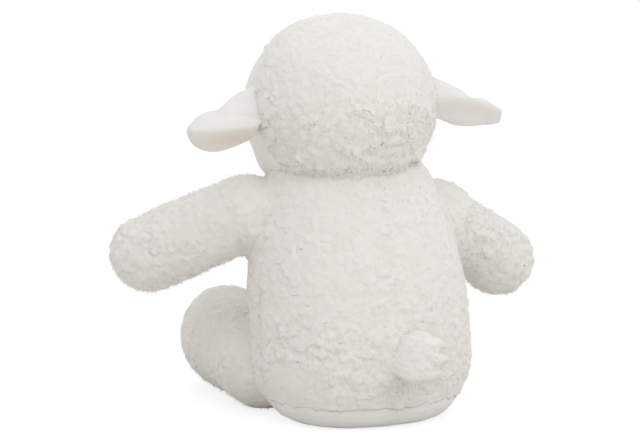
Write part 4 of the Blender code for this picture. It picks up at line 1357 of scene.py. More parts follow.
@dataclass
class Torso:
    """The pear-shaped torso: two back panels, a front, a smooth seat, its filling and the pellet pouch."""

    height: float = 0.190
    half_width: float = 0.0785
    half_depth: float = 0.064
    lean_forward: float = 0.016
    lean_left: float = 0.006
    base_seam: float = 0.0165
    side_seam: float = 0.004
    roundness: float = 2.2
    shares: tuple = (
        (0.000, 0.630, 0.630, 0.00),
        (0.014, 0.740, 0.735, 0.00),
        (0.050, 0.840, 0.838, 0.00),
        (0.115, 0.940, 0.940, 0.02),
        (0.210, 0.990, 0.990, 0.08),
        (0.330, 1.000, 1.000, 0.20),
        (0.455, 0.990, 0.985, 0.35),
        (0.575, 0.965, 0.945, 0.50),
        (0.690, 0.910, 0.885, 0.65),
        (0.795, 0.830, 0.815, 0.78),
        (0.885, 0.735, 0.725, 0.88),
        (0.950, 0.600, 0.600, 0.95),
        (0.988, 0.380, 0.380, 1.00),
        (1.000, 0.000, 0.000, 1.00),
    )
    sway: float = 0.0012
    neck_crease: float = 0.0080
    pouch_half_width: float = 0.040
    pouch_half_depth: float = 0.024
    pouch_back: float = 0.011
    pouch_height: float = 0.022
    give: Array | None = None

    def outline(self) -> tuple[Array, ...]:
        """The outline's height, half-width share, half-depth share and lean, and its length, finely divided."""
        table = np.array(self.shares)
        step = np.hypot(np.diff(table[:, 0]) * self.height, np.diff(table[:, 1]) * self.half_width)
        knots = np.append(0, np.cumsum(step))
        at = np.linspace(0, knots[-1], 600)
        rows = [smooth_profile(knots, table[:, column], at) for column in range(4)]
        rows[0] = np.maximum.accumulate(np.clip(rows[0], 0, 1))
        rows[1], rows[2] = np.maximum(rows[1], 0), np.maximum(rows[2], 0)
        length = np.hypot(np.diff(rows[0]) * self.height, np.diff(rows[1]) * self.half_width)
        return (*rows, np.append(0, np.cumsum(length)))

    def surface(self, length: Array, column: Array, ends: object, inset: float = 0.0) -> Array:
        """Points of the torso's skin.

        Formula: a superellipse at each place along the outline, whose middle moves with the lean, drawn in by the
        inset along the outline's normal. Columns run from one seam to the next, which are planes.

        Args:
            length: Places along the outline from the middle of the seat.
            column: Shares of the way from the first seam to the second.
            ends: Gives the two seams' angles from the half-width, the half-depth and the section's middle.
            inset: How far under the skin.

        Returns:
            Points by row and column.
        """
        share, wide, deep, lean, run = self.outline()
        z, a, b, lean = (np.interp(length, run, row) for row in (share * self.height, wide, deep, lean))
        a, b = a * self.half_width, b * self.half_depth
        slope = np.arctan2(np.gradient(a, length), np.gradient(z, length))
        z = z + inset * np.sin(slope)
        a, b = (np.maximum(size - inset * np.cos(slope), 0) for size in (a, b))
        x0, y0 = lean * self.lean_left - self.sway * np.exp(-(((z - 0.055) / 0.035) ** 2)), -lean * self.lean_forward
        first, last = ends(np.maximum(a, 1e-6), np.maximum(b, 1e-6), x0, y0)
        angle = first[:, None] + (last - first)[:, None] * column[None]
        power = 2 / self.roundness
        x = a[:, None] * np.sign(np.cos(angle)) * np.abs(np.cos(angle)) ** power + x0[:, None]
        y = b[:, None] * np.sign(np.sin(angle)) * np.abs(np.sin(angle)) ** power + y0[:, None]
        points = np.stack([x, y, np.broadcast_to(z[:, None], x.shape)], -1)
        if self.give is None:
            return points
        return points + sampled(self.give, (length / run[-1])[:, None] + 0 * angle, angle / (2 * math.pi))

    @staticmethod
    def all_round(a: Array, b: Array, x0: Array, y0: Array) -> tuple:
        """The angles of a section's whole turn."""
        return np.zeros(len(a)), np.full(len(a), 2 * math.pi)

    def settle(self, limbs: list[Limb]) -> None:
        """Fills the torso by Cloth, with its side seams, its hem, its bowl and its sockets held."""
        run = self.outline()[-1]
        columns = int(math.pi * (self.half_width + self.half_depth) / CAGE)
        grid = self.surface(np.linspace(0, run[-1], int(run[-1] / CAGE)), np.arange(columns) / columns, self.all_round)
        x, y, z = np.moveaxis(grid, -1, 0)
        free = ramp(z, 0.004, 0.016) * ramp(-z, -0.165, -0.145)
        for limb in limbs:
            free = free * ramp(limb.outside(grid), 0, 0.012)
        near = CAGE / 2
        held = (np.abs(y - self.side_seam) < near) | (np.abs(z - self.base_seam) < near)
        self.give = Cage(grid, held | (free < 0.05), free).give()

    def seam_angle(self, a: Array, b: Array, x0: Array, y0: Array) -> tuple:
        """The angles where the side seam and the back seam cross each section, on the sheep's left."""
        power = self.roundness / 2
        side = np.clip((self.side_seam - y0) / b, -1, 1)
        side = np.arcsin(np.sign(side) * np.abs(side) ** power)
        back = np.clip(-x0 / a, -1, 1)
        back = np.arccos(np.sign(back) * np.abs(back) ** power)
        return side, back

    def shaped(self, limbs: list[Limb], head: "Head", clear: float) -> object:
        """The presses that keep the torso clear of head, limbs and floor.

        Args:
            limbs: The limbs whose roots sit in it.
            head: The head that sits in its bowl.
            clear: The gap kept round each root.

        Returns:
            A function of points and of the depth that they lie under the skin.
        """

        def press(points: Array, under: float) -> Array:
            for limb in limbs:
                points = pressed_back(points, limb.origin, limb.way, limb.ball + clear + under)
            above = unit(points - head.centre)[..., 2:3]
            room = head.bowl_gap + under - head.rim_sunk * ramp(above, -0.82, -0.75)
            points = clear_of_ball(points, head.centre, head.radius + room)
            return above_floor(points, FLOOR_CLEAR + under)

        return press

    def outside(self, points: Array) -> Array:
        """How far points lie outside the skin, about.

        Formula: the superellipse's measure of a point in the section at its height, less one, times its distance
        from the section's middle over that measure.
        """
        share, wide, deep, lean, _ = self.outline()
        at = np.clip(points[..., 2] / self.height, 0, 1)
        a, b, lean = (np.interp(at, share, row) for row in (wide, deep, lean))
        x = points[..., 0] - lean * self.lean_left
        y = points[..., 1] + lean * self.lean_forward
        across = np.abs(x / np.maximum(a * self.half_width, 1e-4)) ** self.roundness
        measure = (across + np.abs(y / np.maximum(b * self.half_depth, 1e-4)) ** self.roundness) ** (1 / self.roundness)
        return np.hypot(x, y) * (1 - 1 / np.maximum(measure, 1e-3))

    def pile_mask(self, grid: Array, limbs: list[Limb], head: "Head") -> Array:
        """How much of the pile stands: little inside the sockets and the bowl."""
        mask = np.ones(grid.shape[:2])
        for limb in limbs:
            mask = np.minimum(mask, 0.2 + 0.8 * ramp(limb.outside(grid), -0.003, 0.0005))
        away = np.linalg.norm(grid - head.centre, axis=-1)
        mask = np.minimum(mask, 0.2 + 0.8 * ramp(away, head.radius - 0.001, head.radius + 0.002))
        return mask

    def rims(self, grid: Array, limbs: list[Limb], head: "Head", tail: "Tail") -> tuple[Array, Array]:
        """Where longer locks close the joins with the limbs and the head, and the way that they lean."""
        fringe = np.zeros(grid.shape[:2])
        lean = np.zeros(grid.shape)
        for limb in limbs:
            away = grid - limb.origin
            along = away @ limb.way
            across = away - along[..., None] * limb.way
            aside = np.linalg.norm(across, axis=-1)
            near = np.exp(-(((aside - limb.ball - 0.0015) / 0.0015) ** 2)) * (along > -limb.ball)
            fringe = np.maximum(fringe, near)
            lean = lean + near[..., None] * (limb.way - unit(across))
        away = grid - head.centre
        near = np.exp(-(((np.linalg.norm(away, axis=-1) - head.radius - 0.003) / 0.0015) ** 2))
        fringe, lean = np.maximum(fringe, near), lean + near[..., None] * (UP - unit(away))
        near = np.exp(-((np.linalg.norm(grid - tail.root, axis=-1) / 0.017) ** 2))
        return np.maximum(fringe, near), lean + near[..., None] * 1.5 * tail.way(0.8)

    def build(self, limbs: list[Limb], head: "Head", tail: "Tail") -> None:
        """Makes the torso's panels, filling and pouch."""
        share, _, _, _, run = self.outline()
        seam = float(np.interp(self.base_seam, share * self.height, run))
        bowl_rim = float(np.interp(0.165, share * self.height, run))
        shown = np.linspace(seam, bowl_rim, int((bowl_rim - seam) / GRAIN))
        hidden = np.linspace(bowl_rim, run[-1], int((run[-1] - bowl_rim) / (2 * GRAIN)))[1:]
        length = np.concatenate([shown, hidden])
        middle = np.array((0, 0, self.height / 2))
        press = self.shaped(limbs, head, SEAM_GAP)

        def back_left(a: Array, b: Array, x0: Array, y0: Array) -> tuple:
            return self.seam_angle(a, b, x0, y0)

        def back_right(a: Array, b: Array, x0: Array, y0: Array) -> tuple:
            side, back = self.seam_angle(a, b, x0, y0)
            return back, math.pi - side

        def front(a: Array, b: Array, x0: Array, y0: Array) -> tuple:
            side, _ = self.seam_angle(a, b, x0, y0)
            return math.pi - side, 2 * math.pi + side

        quarter = math.pi * (self.half_width + self.half_depth) / 4
        for name, ends, quarters in (
            ("torso_back_left", back_left, 1),
            ("torso_back_right", back_right, 1),
            ("torso_front", front, 2),
        ):
            columns = int(quarter * quarters / GRAIN)
            column = np.linspace(0, 1, columns)
            grid, normals = trimmed(self.surface(length, past_ends(column), ends), middle)
            from_seam = np.minimum(column, 1 - column) * quarter * quarters
            groove = 1 - 0.1 * np.exp(-((from_seam / 0.0020) ** 2))
            mask = self.pile_mask(grid, limbs, head) * groove[None]
            mask = mask * (0.86 - 0.26 * ramp(grid[..., 2], 0.05, 0.155))
            mask = mask * (0.4 + 0.6 * ramp(grid[..., 2] - self.base_seam, 0, 0.012))
            panel = Panel(name, grid, middle, WOOL, mask=mask, shaped=press, hang="first", normals=normals)
            panel.hang_depth = 0.0016
            creases = [filled_crease(limb.outside(grid), limb.crease) for limb in limbs]
            apart = np.linalg.norm(grid - head.centre, axis=-1) - head.radius
            panel.swell = np.max([*creases, filled_crease(apart, self.neck_crease)], axis=0)
            panel.swell = np.maximum(panel.swell, filled_crease(tail.from_root(grid), tail.crease))
            panel.fringe, panel.fringe_way = self.rims(grid, limbs, head, tail)
            over = 0.9 * np.exp(-((from_seam / 0.0018) ** 2))[None] + 0 * grid[..., 2]
            hem = 0.7 * np.exp(-(((grid[..., 2] - self.base_seam) / 0.0018) ** 2))
            panel.fringe = np.maximum(panel.fringe, np.maximum(over, hem))
            across = np.where(column < 0.5, -1, 1)[None, :, None] * unit(np.gradient(grid, axis=1))
            over_way = over[..., None] * (0.8 * across - 0.3 * UP)
            panel.fringe_way = panel.fringe_way + over_way - 0.6 * hem[..., None] * UP
            placed(panel.build(), "torso", "curly_wool", name, fill=0.8)

        length = np.linspace(0, seam - SEAM_GAP, int(seam / (1.5 * GRAIN)))
        column = np.linspace(0, 1, int(4 * quarter / (2 * GRAIN)))
        grid = self.surface(length, column, self.all_round)
        grid[:, -1] = grid[:, 0]
        normals = grid_normals(grid, middle)
        normals[:, -1] = normals[:, 0]
        puckers = 0.0005 * smooth_noise(grid, 0.014, 81) + 0.0003 * smooth_noise(grid, 0.006, 82)
        puckers[:, -1] = puckers[:, 0]
        outer = press(grid + normals * (puckers + 0.0004)[..., None], 0.0)
        inner = press(grid - normals * WOOL_THICKNESS, WOOL_THICKNESS)
        both = np.concatenate([outer, outer[-1:], inner[::-1]])
        made = mesh_object("torso_seat", both.reshape(-1, 3), grid_quads(*both.shape[:2]))
        made.data.materials.append(VELOUR.material())
        placed(closed_up(made), "torso", "white_velour", "torso_seat", fill=0.7)
        self.inside(limbs, head, run[-1])

    def inside(self, limbs: list[Limb], head: "Head", whole: float) -> None:
        """Makes the filling, hollowed for the pouch and the neck wad, and the pouch."""
        inset = WOOL_THICKNESS + SEAM_GAP
        length = np.linspace(0, whole, 120)
        column = np.linspace(0, 1, 200)
        grid = self.surface(length, column, self.all_round, inset)
        grid[:, -1] = grid[:, 0]
        grid = self.shaped(limbs, head, 0.0012)(grid, inset)
        grid[..., 2] = np.maximum(grid[..., 2], inset)
        room = 1 - (grid[..., 0] / (self.pouch_half_width + 0.001)) ** 2
        room -= ((grid[..., 1] - self.pouch_back) / (self.pouch_half_depth + 0.001)) ** 2
        hollow = inset + SEAM_GAP + self.pouch_height * np.clip(2.2 * np.clip(room, 0, 1), 0, 1) ** 0.5 * 1.04
        low = (grid[..., 2] < self.pouch_height) & (room > 0)
        grid[..., 2] = np.where(low, np.maximum(grid[..., 2], hollow), grid[..., 2])
        bore_floor = head.centre - UP * (head.radius + head.wad_length + SEAM_GAP)
        grid = pressed_back(grid, bore_floor, UP, head.wad_radius + 0.0008, hollow=0)
        middle = np.array((0, 0, self.height / 2))
        placed(wad("torso_stuffing", grid, middle, STUFFING), "torso", "fibre_stuffing", "torso_stuffing", fill=0.8)

        turn = np.linspace(0, 2 * math.pi, 120)
        lift = np.linspace(0, 1, 50)
        size = np.where(lift < 0.5, np.sqrt(lift / 0.5), np.sqrt(np.clip(1 - ((lift - 0.5) / 0.5) ** 2, 0, 1)))
        z = inset + self.pouch_height * np.where(lift < 0.5, 0.12 * lift / 0.5, 0.12 + 0.88 * (lift - 0.5) / 0.5)
        x = 0.96 * self.pouch_half_width * size[:, None] * np.cos(turn)[None]
        y = self.pouch_back + 0.96 * self.pouch_half_depth * size[:, None] * np.sin(turn)[None]
        grid = np.stack([x, y, np.broadcast_to(z[:, None], x.shape)], -1)
        grid[:, -1] = grid[:, 0]
        gap, _, _ = cell_noise(grid, 0.0034, 31)
        pellets = 0.0005 * (1 - np.clip(gap / 0.5, 0, 1)) ** 2 * (grid[..., 2] > inset + 0.001)
        grid = grid - grid_normals(grid, grid.mean(axis=(0, 1))) * pellets[..., None]
        made = wad("pellet_pouch", grid, grid.mean(axis=(0, 1)), COTTON, lumps=0.0003)
        placed(made, "torso", "pouch_cotton", "pellet_pouch", fill=0.7)


@dataclass
class Head:
    """The head: a ball with a muzzle and cheeks, in two wool panels and a velour face, with filling and neck wad."""

    radius: float = 0.0665
    crown_drop: float = 0.0025
    muzzle: tuple = (0.0, math.radians(3), math.radians(34), 0.0150)
    cheek: tuple = (math.radians(61), math.radians(8), math.radians(25), 0.0020)
    jowl: tuple = (math.radians(74), math.radians(40), math.radians(18), 0.0045)
    face_seam_back: float = 0.0120
    face_seam_lean: float = math.radians(17)
    forehead_seam: float = 0.0300
    forehead_lean: float = math.radians(15)
    wool_tilt: float = math.radians(28)
    corner_round: float = 0.0120
    neck_opening: float = 0.0240
    wad_radius: float = 0.0200
    wad_length: float = 0.0260
    bowl_gap: float = 0.0006
    rim_sunk: float = 0.0012
    give: Array | None = None

    @property
    def centre(self) -> Array:
        """The middle of the head, which it nods and turns about."""
        return np.array((0.011, -0.018, 0.2165))

    @staticmethod
    def facing(aside: float, above: float) -> Array:
        """A direction from the head's middle, by its angles from straight ahead."""
        flat = math.cos(above)
        return np.array((flat * math.sin(aside), -flat * math.cos(aside), math.sin(above)))

    def reach(self, way: Array) -> Array:
        """How far the head's skin lies from its middle.

        Formula: the radius, less the crown's drop times the height squared, plus for each bump its size times
        (1 - (angle / spread)^2)^2 within its spread.

        Args:
            way: Unit vectors from the middle.

        Returns:
            The distance along each.
        """
        total = self.radius - self.crown_drop * np.maximum(way[..., 2], 0) ** 2
        bumps = [self.muzzle]
        for aside, below, spread, out in (self.cheek, self.jowl):
            bumps += [(aside, below, spread, out), (-aside, below, spread, out)]
        for aside, below, spread, out in bumps:
            angle = np.arccos(np.clip(way @ self.facing(aside, -below), -1, 1))
            total = total + out * (1 - np.minimum(angle / spread, 1) ** 2) ** 2
        if self.give is None:
            return total
        polar = np.arccos(np.clip(-way[..., 2], -1, 1)) / math.pi
        return total + sampled(self.give, polar, np.arctan2(way[..., 1], way[..., 0]) / (2 * math.pi))[..., 0]

    @staticmethod
    def globe(rows: int, columns: int, closed: bool) -> Array:
        """Directions by row from the lowest to the highest, and by column round the upright, closed or not."""
        polar = np.linspace(0, math.pi, rows)[:, None]
        turn = np.linspace(0, 2 * math.pi, columns, endpoint=closed)[None]
        way = np.stack([np.sin(polar) * np.cos(turn), np.sin(polar) * np.sin(turn), -np.cos(polar) + 0 * turn], -1)
        if closed:
            way[:, -1] = way[:, 0]
        way[0], way[-1] = -UP, UP
        return way

    def settle(self) -> None:
        """Fills the head by Cloth, with the seam round its face and its neck held."""
        way = self.globe(int(math.pi * self.radius / CAGE), int(2 * math.pi * self.radius / CAGE), False)
        inside, low = self.in_face(way), way[..., 2]
        held = np.abs(inside) < CAGE / 2
        free = ramp(low, -0.7, -0.5)
        moved = Cage(self.point(way), held | (low < -0.7), free).give()
        self.give = (moved * way).sum(-1, keepdims=True)

    def point(self, way: Array, out: float = 0.0) -> Array:
        """A point of the head's skin, or that far outside it."""
        way = unit(way)
        return self.centre + way * (self.reach(way) + out)[..., None]

    def in_face(self, way: Array) -> Array:
        """How far inside the face's two seam planes, with a rounded corner, the skin lies in a direction."""
        point = self.point(way) - self.centre
        before = -(point[..., 1] - self.face_seam_back) * math.cos(self.face_seam_lean)
        before -= point[..., 2] * math.sin(self.face_seam_lean)
        under = (self.forehead_seam - point[..., 2]) * math.cos(self.forehead_lean)
        under += (point[..., 1] + self.radius) * math.sin(self.forehead_lean)
        return (before + under - np.sqrt((before - under) ** 2 + self.corner_round**2)) / 2

    def polar(self, from_axis: Array, round_it: Array, ahead: bool) -> Array:
        """Directions by their angle from the wool's middle, or the face's, and the angle round that axis."""
        back = math.cos(self.wool_tilt) * np.array((0, 1, 0)) + math.sin(self.wool_tilt) * UP
        over = math.cos(self.wool_tilt) * UP - math.sin(self.wool_tilt) * np.array((0, 1, 0))
        out = np.cos(round_it)[..., None] * np.array((1, 0, 0)) + np.sin(round_it)[..., None] * over
        axis = -back if ahead else back
        return np.sin(from_axis)[..., None] * out + np.cos(from_axis)[..., None] * axis

    def seam(self, round_it: Array) -> Array:
        """The face seam's angle from the wool's middle, found by halving, at each angle round that axis."""
        low, high = np.full(round_it.shape, 0.2), np.full(round_it.shape, math.pi - 0.05)
        for _ in range(40):
            half = (low + high) / 2
            inside = self.in_face(self.polar(half, round_it, False)) > 0
            low, high = np.where(inside, low, half), np.where(inside, half, high)
        return (low + high) / 2

    @staticmethod
    def spread(share: Array, edge: Array) -> Array:
        """Angles by share and column that reach the edge, and are even round the pole away from it.

        Formula: the share of the mean edge, plus the share to the third power of what the edge differs from it.
        """
        even = edge.mean()
        return share[:, None] * even + share[:, None] ** 3 * (edge[None] - even)

    def build(self) -> None:
        """Makes the head's panels, its filling and the neck wad."""
        gap = SEAM_GAP / 2 / self.radius
        bottom = self.centre[2] - self.radius
        for side in Side:
            turn = np.linspace(-math.pi / 2, math.pi / 2, int(math.pi * self.radius / GRAIN))
            turn = past_ends(turn if side is Side.LEFT else math.pi - turn)
            edge = self.seam(turn)
            share = np.linspace(0, 1, int(2.1 * self.radius / GRAIN))
            from_axis = self.spread(share, edge - gap)
            way = self.polar(from_axis, np.broadcast_to(turn, from_axis.shape), False)
            grid, normals = trimmed(self.point(way), self.centre)
            way, from_axis, edge = way[:, 1:-1], from_axis[:, 1:-1], edge[1:-1]
            low = way[..., 2]
            mask = (0.15 + 0.85 * ramp(low, -0.86, -0.72)) * (0.4 + 0.65 * ramp(-low, -0.8, 0.4))
            groove = 1 - 0.1 * np.exp(-((way[..., 0] * self.radius / 0.0016) ** 2))
            panel = Panel(f"head_wool_{side.word}", grid, self.centre, WOOL, mask=mask * groove, normals=normals)
            panel.swell = 0.0006 * ramp(low, -0.5, 0.2)
            panel.mask = panel.mask * (1 - 0.5 * np.exp(-(((edge[None] - from_axis) * self.radius / 0.0024) ** 2)))
            panel.shaped, panel.hang, panel.hang_depth = self.drooped, "last", 0.0022
            panel.fringe = np.exp(-(((way[..., 2] + 0.56) / 0.09) ** 2))
            panel.fringe_way = np.broadcast_to(-UP, grid.shape)
            placed(panel.build(), "head", "curly_wool", panel.name, fill=0.8)
        turn = np.linspace(-math.pi, math.pi, int(2 * math.pi * self.radius / (1.3 * GRAIN)))
        edge = math.pi - self.seam(turn) - gap
        edge[-1] = edge[0]
        share = np.linspace(0, 1, int(1.7 * self.radius / (1.3 * GRAIN)))
        from_axis = self.spread(share, edge)
        way = self.polar(from_axis, np.broadcast_to(turn, from_axis.shape), True)
        way[:, -1] = way[:, 0]
        grid = self.point(way, -0.0004)
        normals = grid_normals(grid, self.centre)
        normals[:, -1] = normals[:, 0]
        soft = 0.0004 * smooth_noise(grid, 0.012, 41) + 0.00015 * smooth_noise(grid, 0.005, 42)
        soft[:, -1] = soft[:, 0]
        soft = soft + 0.0009 * np.exp(-(((edge[None] - from_axis) * self.radius / 0.0030) ** 2))
        outer = self.opened(grid + normals * soft[..., None], 0.0)
        inner = self.opened(grid - normals * VELOUR_THICKNESS, VELOUR_THICKNESS)
        both = np.concatenate([outer, outer[-1:], inner[::-1]])
        face = mesh_object("head_face", both.reshape(-1, 3), grid_quads(*both.shape[:2]))
        face.data.materials.append(VELOUR.material())
        placed(closed_up(face), "head", "white_velour", "head_face", fill=0.8)

        inset = WOOL_THICKNESS + 3 * SEAM_GAP
        made = wad("head_stuffing", self.point(self.globe(90, 160, True), -inset), self.centre, STUFFING)
        placed(made, "head", "fibre_stuffing", "head_stuffing", fill=0.8)

        low = -self.radius - self.wad_length
        rounding = self.wad_radius / 4
        arc = np.linspace(0, math.pi / 2, 8)
        foot_r = self.wad_radius - rounding + rounding * np.sin(arc)
        foot_z = low + rounding - rounding * np.cos(arc)
        rim = -math.sqrt((self.radius + 0.0006) ** 2 - self.wad_radius**2)
        wall_z = np.linspace(foot_z[-1], rim, 14)[1:]
        cap_r = np.linspace(self.wad_radius, 0, 16)[1:]
        cap_z = -np.sqrt((self.radius + 0.0006) ** 2 - cap_r**2)
        radius = np.concatenate([[0], foot_r, np.full(len(wall_z), self.wad_radius), cap_r])
        height = np.concatenate([[low], foot_z, wall_z, cap_z])
        turn = np.linspace(0, 2 * math.pi, 80)
        grid = self.centre + np.stack(
            [
                radius[:, None] * np.cos(turn)[None],
                radius[:, None] * np.sin(turn)[None],
                np.broadcast_to(height[:, None], (len(height), len(turn))),
            ],
            -1,
        )
        grid[:, -1] = grid[:, 0]
        made = wad("neck_wad", grid, self.centre + UP * (bottom - self.centre[2] + low) / 2, STUFFING, lumps=0.0003)
        placed(made, "neck", "fibre_stuffing", "neck_wad", fill=0.9)

    def drooped(self, points: Array, under: float) -> Array:
        """Lets the wool's clumps hang a little where the head meets the torso, then opens the neck.

        Formula: points near the rim of the torso's bowl move down and out by noise that is cut off below zero.
        """
        if under == 0:
            way = unit(points - self.centre)
            near = np.exp(-(((way[..., 2] + 0.52) / 0.16) ** 2))
            depth = 0.0016 + 0.0030 * smooth_noise(points, 0.008, 61) + 0.0010 * smooth_noise(points, 0.003, 62)
            drop = np.maximum(depth, 0) * near
            level = unit(way * np.array((1, 1, 0)))
            points = points + drop[..., None] * (0.5 * level - 0.5 * UP)
        return self.opened(points, under)

    def opened(self, points: Array, under: float) -> Array:
        """Draws the skin back from the neck opening, down to a rim round it."""
        away = points - self.centre
        aside = np.linalg.norm(away[..., :2], axis=-1, keepdims=True)
        inside = (aside < self.neck_opening) & (away[..., 2:3] < 0)
        outwards = np.concatenate([away[..., :2] / np.maximum(aside, 1e-6) * self.neck_opening, away[..., 2:3]], -1)
        moved = np.where(inside, outwards, away)
        return self.centre + moved


@dataclass
class FaceDetails:
    """Eyes with their stems and washers, and the stitched nose and mouth."""

    head: Head
    eye_radius: float = 0.0055
    eye_height: float = 0.0038
    eye_flange: float = 0.0010
    eye_sink: float = 0.0012
    eye_side: float = math.radians(33)
    eye_above: float = math.radians(9)
    stem_radius: float = 0.0018
    stem_length: float = 0.0085
    washer_radius: float = 0.0080
    washer_thickness: float = 0.0012
    washer_room: float = 0.0016
    nose_half_width: float = 0.0085
    nose_half_height: float = 0.0052
    nose_thickness: float = 0.0014
    thread_radius: float = 0.0009
    mouth_drop: float = 0.0085
    mouth_half_width: float = 0.0100
    mouth_rise: float = 0.0030

    def seat(self, side: Side) -> tuple[Array, Array]:
        """The place of an eye's underside and the way that it faces."""
        way = self.head.facing(side.value * self.eye_side, self.eye_above)
        aside = unit(np.cross(way, UP)) * 0.02
        above = np.cross(aside, way)
        across = self.head.point(way + aside) - self.head.point(way - aside)
        rising = self.head.point(way + above) - self.head.point(way - above)
        normal = unit(np.cross(across, rising))
        if normal @ way < 0:
            normal = -normal
        return self.head.point(way) - normal * self.eye_sink, normal

    def build_eye(self, side: Side) -> None:
        """Makes one eye and its washer."""
        place, normal = self.seat(side)
        arc = np.linspace(0, math.pi / 2, 14)
        dome = np.stack([self.eye_radius * np.cos(arc), self.eye_flange + self.eye_height * np.sin(arc)], -1)
        dome[-1, 0] = 0
        r, low = self.stem_radius, -self.stem_length
        ribs = np.linspace(low + 0.0008, -0.0012, 24)
        rib_radius = r - 0.00018 * (1 + np.cos((ribs - low) * 2 * math.pi / 0.0010)) / 2
        stem = np.concatenate([[(0, low), (r * 0.7, low), (r, low + 0.0005)], np.stack([rib_radius, ribs], -1)])
        foot = np.array([(r, -0.0006), (r + 0.0006, 0.0), (self.eye_radius - 0.0004, 0.0), (self.eye_radius, 0.0003)])
        profile = np.concatenate([stem, foot, dome])
        name = f"eye_{side.word}"
        made = revolved(name, profile, place, normal, EYE)
        placed(made, "head", "eye_gloss", name)

        under = VELOUR_THICKNESS - self.eye_sink + self.washer_room
        top, bottom = -under, -under - self.washer_thickness
        hole = self.stem_radius + SEAM_GAP
        edge = self.washer_radius
        bevel = 0.0003
        profile = np.array(
            [
                (hole, bottom + bevel), (hole + bevel, bottom), (edge * 0.55, bottom), (edge * 0.6, bottom + bevel),
                (edge - bevel, bottom + bevel), (edge, bottom + 2 * bevel), (edge, top - bevel),
                (edge - bevel, top), (hole + bevel, top), (hole, top - bevel), (hole, bottom + bevel),
            ]
        )
        name = f"eye_washer_{side.word}"
        placed(revolved(name, profile, place, normal, WASHER), "head", "washer_plastic", name)

    def on_muzzle(self, across: Array, up: Array, out: Array) -> Array:
        """Points over the muzzle by their distances across, up from its tip, and out of the skin."""
        tip = self.head.radius + self.head.muzzle[3]
        aside, above = across / tip, up / tip - self.head.muzzle[1]
        flat = np.cos(above)
        way = np.stack([flat * np.sin(aside), -flat * np.cos(aside), np.sin(above)], -1)
        return self.head.centre + way * (self.head.reach(way) + out)[..., None]

    def build_stitching(self) -> None:
        """Makes the satin-stitched nose and the mouth's twisted thread.

        Formula: the nose is a low dome over a rounded triangle, ribbed across by a sine for each stitch. The mouth
        is a tube along two joined arcs, with two strands that wind round it.
        """
        turn = np.linspace(0, 2 * math.pi, 161)
        rise = np.linspace(0, 1, 40)
        a = self.nose_half_width * np.cos(turn)
        b = self.nose_half_height * np.sin(turn)
        size = np.sqrt(1 - rise**2)
        across, up = size[:, None] * a[None], size[:, None] * b[None]
        across = across * (1 - 0.35 * (1 - up / self.nose_half_height) / 2)
        ribs = 0.00012 * np.cos(across * 2 * math.pi / 0.0009) * np.sin(rise * math.pi / 2)[:, None] ** 0.5
        out = SEAM_GAP + self.nose_thickness * (0.25 + 0.85 * rise[:, None]) + ribs
        top = self.on_muzzle(across, up + self.nose_half_height, out)
        foot = self.on_muzzle(across, up + self.nose_half_height, np.full(across.shape, SEAM_GAP))
        both = np.concatenate([foot[::-1], top])
        both[:, -1] = both[:, 0]
        made = mesh_object("nose_stitching", both.reshape(-1, 3), grid_quads(*both.shape[:2]))
        made.data.materials.append(THREAD.material())
        placed(closed_up(made), "head", "nose_thread", "nose_stitching")

        share = np.linspace(-1, 1, 240)
        up = -self.mouth_drop + self.mouth_rise * (2 * np.abs(share) ** 1.5 - 1)
        up = up + self.mouth_rise * (1 - np.abs(share)) ** 4
        line = self.on_muzzle(share * self.mouth_half_width, up, np.full(share.shape, SEAM_GAP + self.thread_radius))
        ahead = unit(np.gradient(line, axis=0))
        outwards = unit(line - self.head.centre)
        aside = unit(np.cross(ahead, outwards))
        outwards = np.cross(aside, ahead)
        turn = np.linspace(0, 2 * math.pi, 17)
        twist = share * self.mouth_half_width * 2 * math.pi / 0.0028
        ends = np.sqrt(np.clip(1 - np.abs(share) ** 40, 0, 1))
        lobes = 1 - 0.18 * (1 - np.abs(np.cos(turn[None] - twist[:, None])))
        radius = self.thread_radius * lobes * ends[:, None]
        ring = np.cos(turn)[None, :, None] * aside[:, None] + np.sin(turn)[None, :, None] * outwards[:, None]
        grid = line[:, None] + radius[..., None] * ring
        grid[:, -1] = grid[:, 0]
        made = mesh_object("mouth_stitching", grid.reshape(-1, 3), grid_quads(*grid.shape[:2]))
        made.data.materials.append(THREAD.material())
        placed(closed_up(made), "head", "nose_thread", "mouth_stitching")


@dataclass(frozen=True)
class EarShape:
    """How one ear lies, by share of its length, with heights from its root in millimetres."""

    length: float
    # How strongly the ear's back is painted with shade under its ridge.
    warmth: float
    shares: tuple  # share, lower edge, upper edge, ridge, fold as a share, crease, its depth as a share


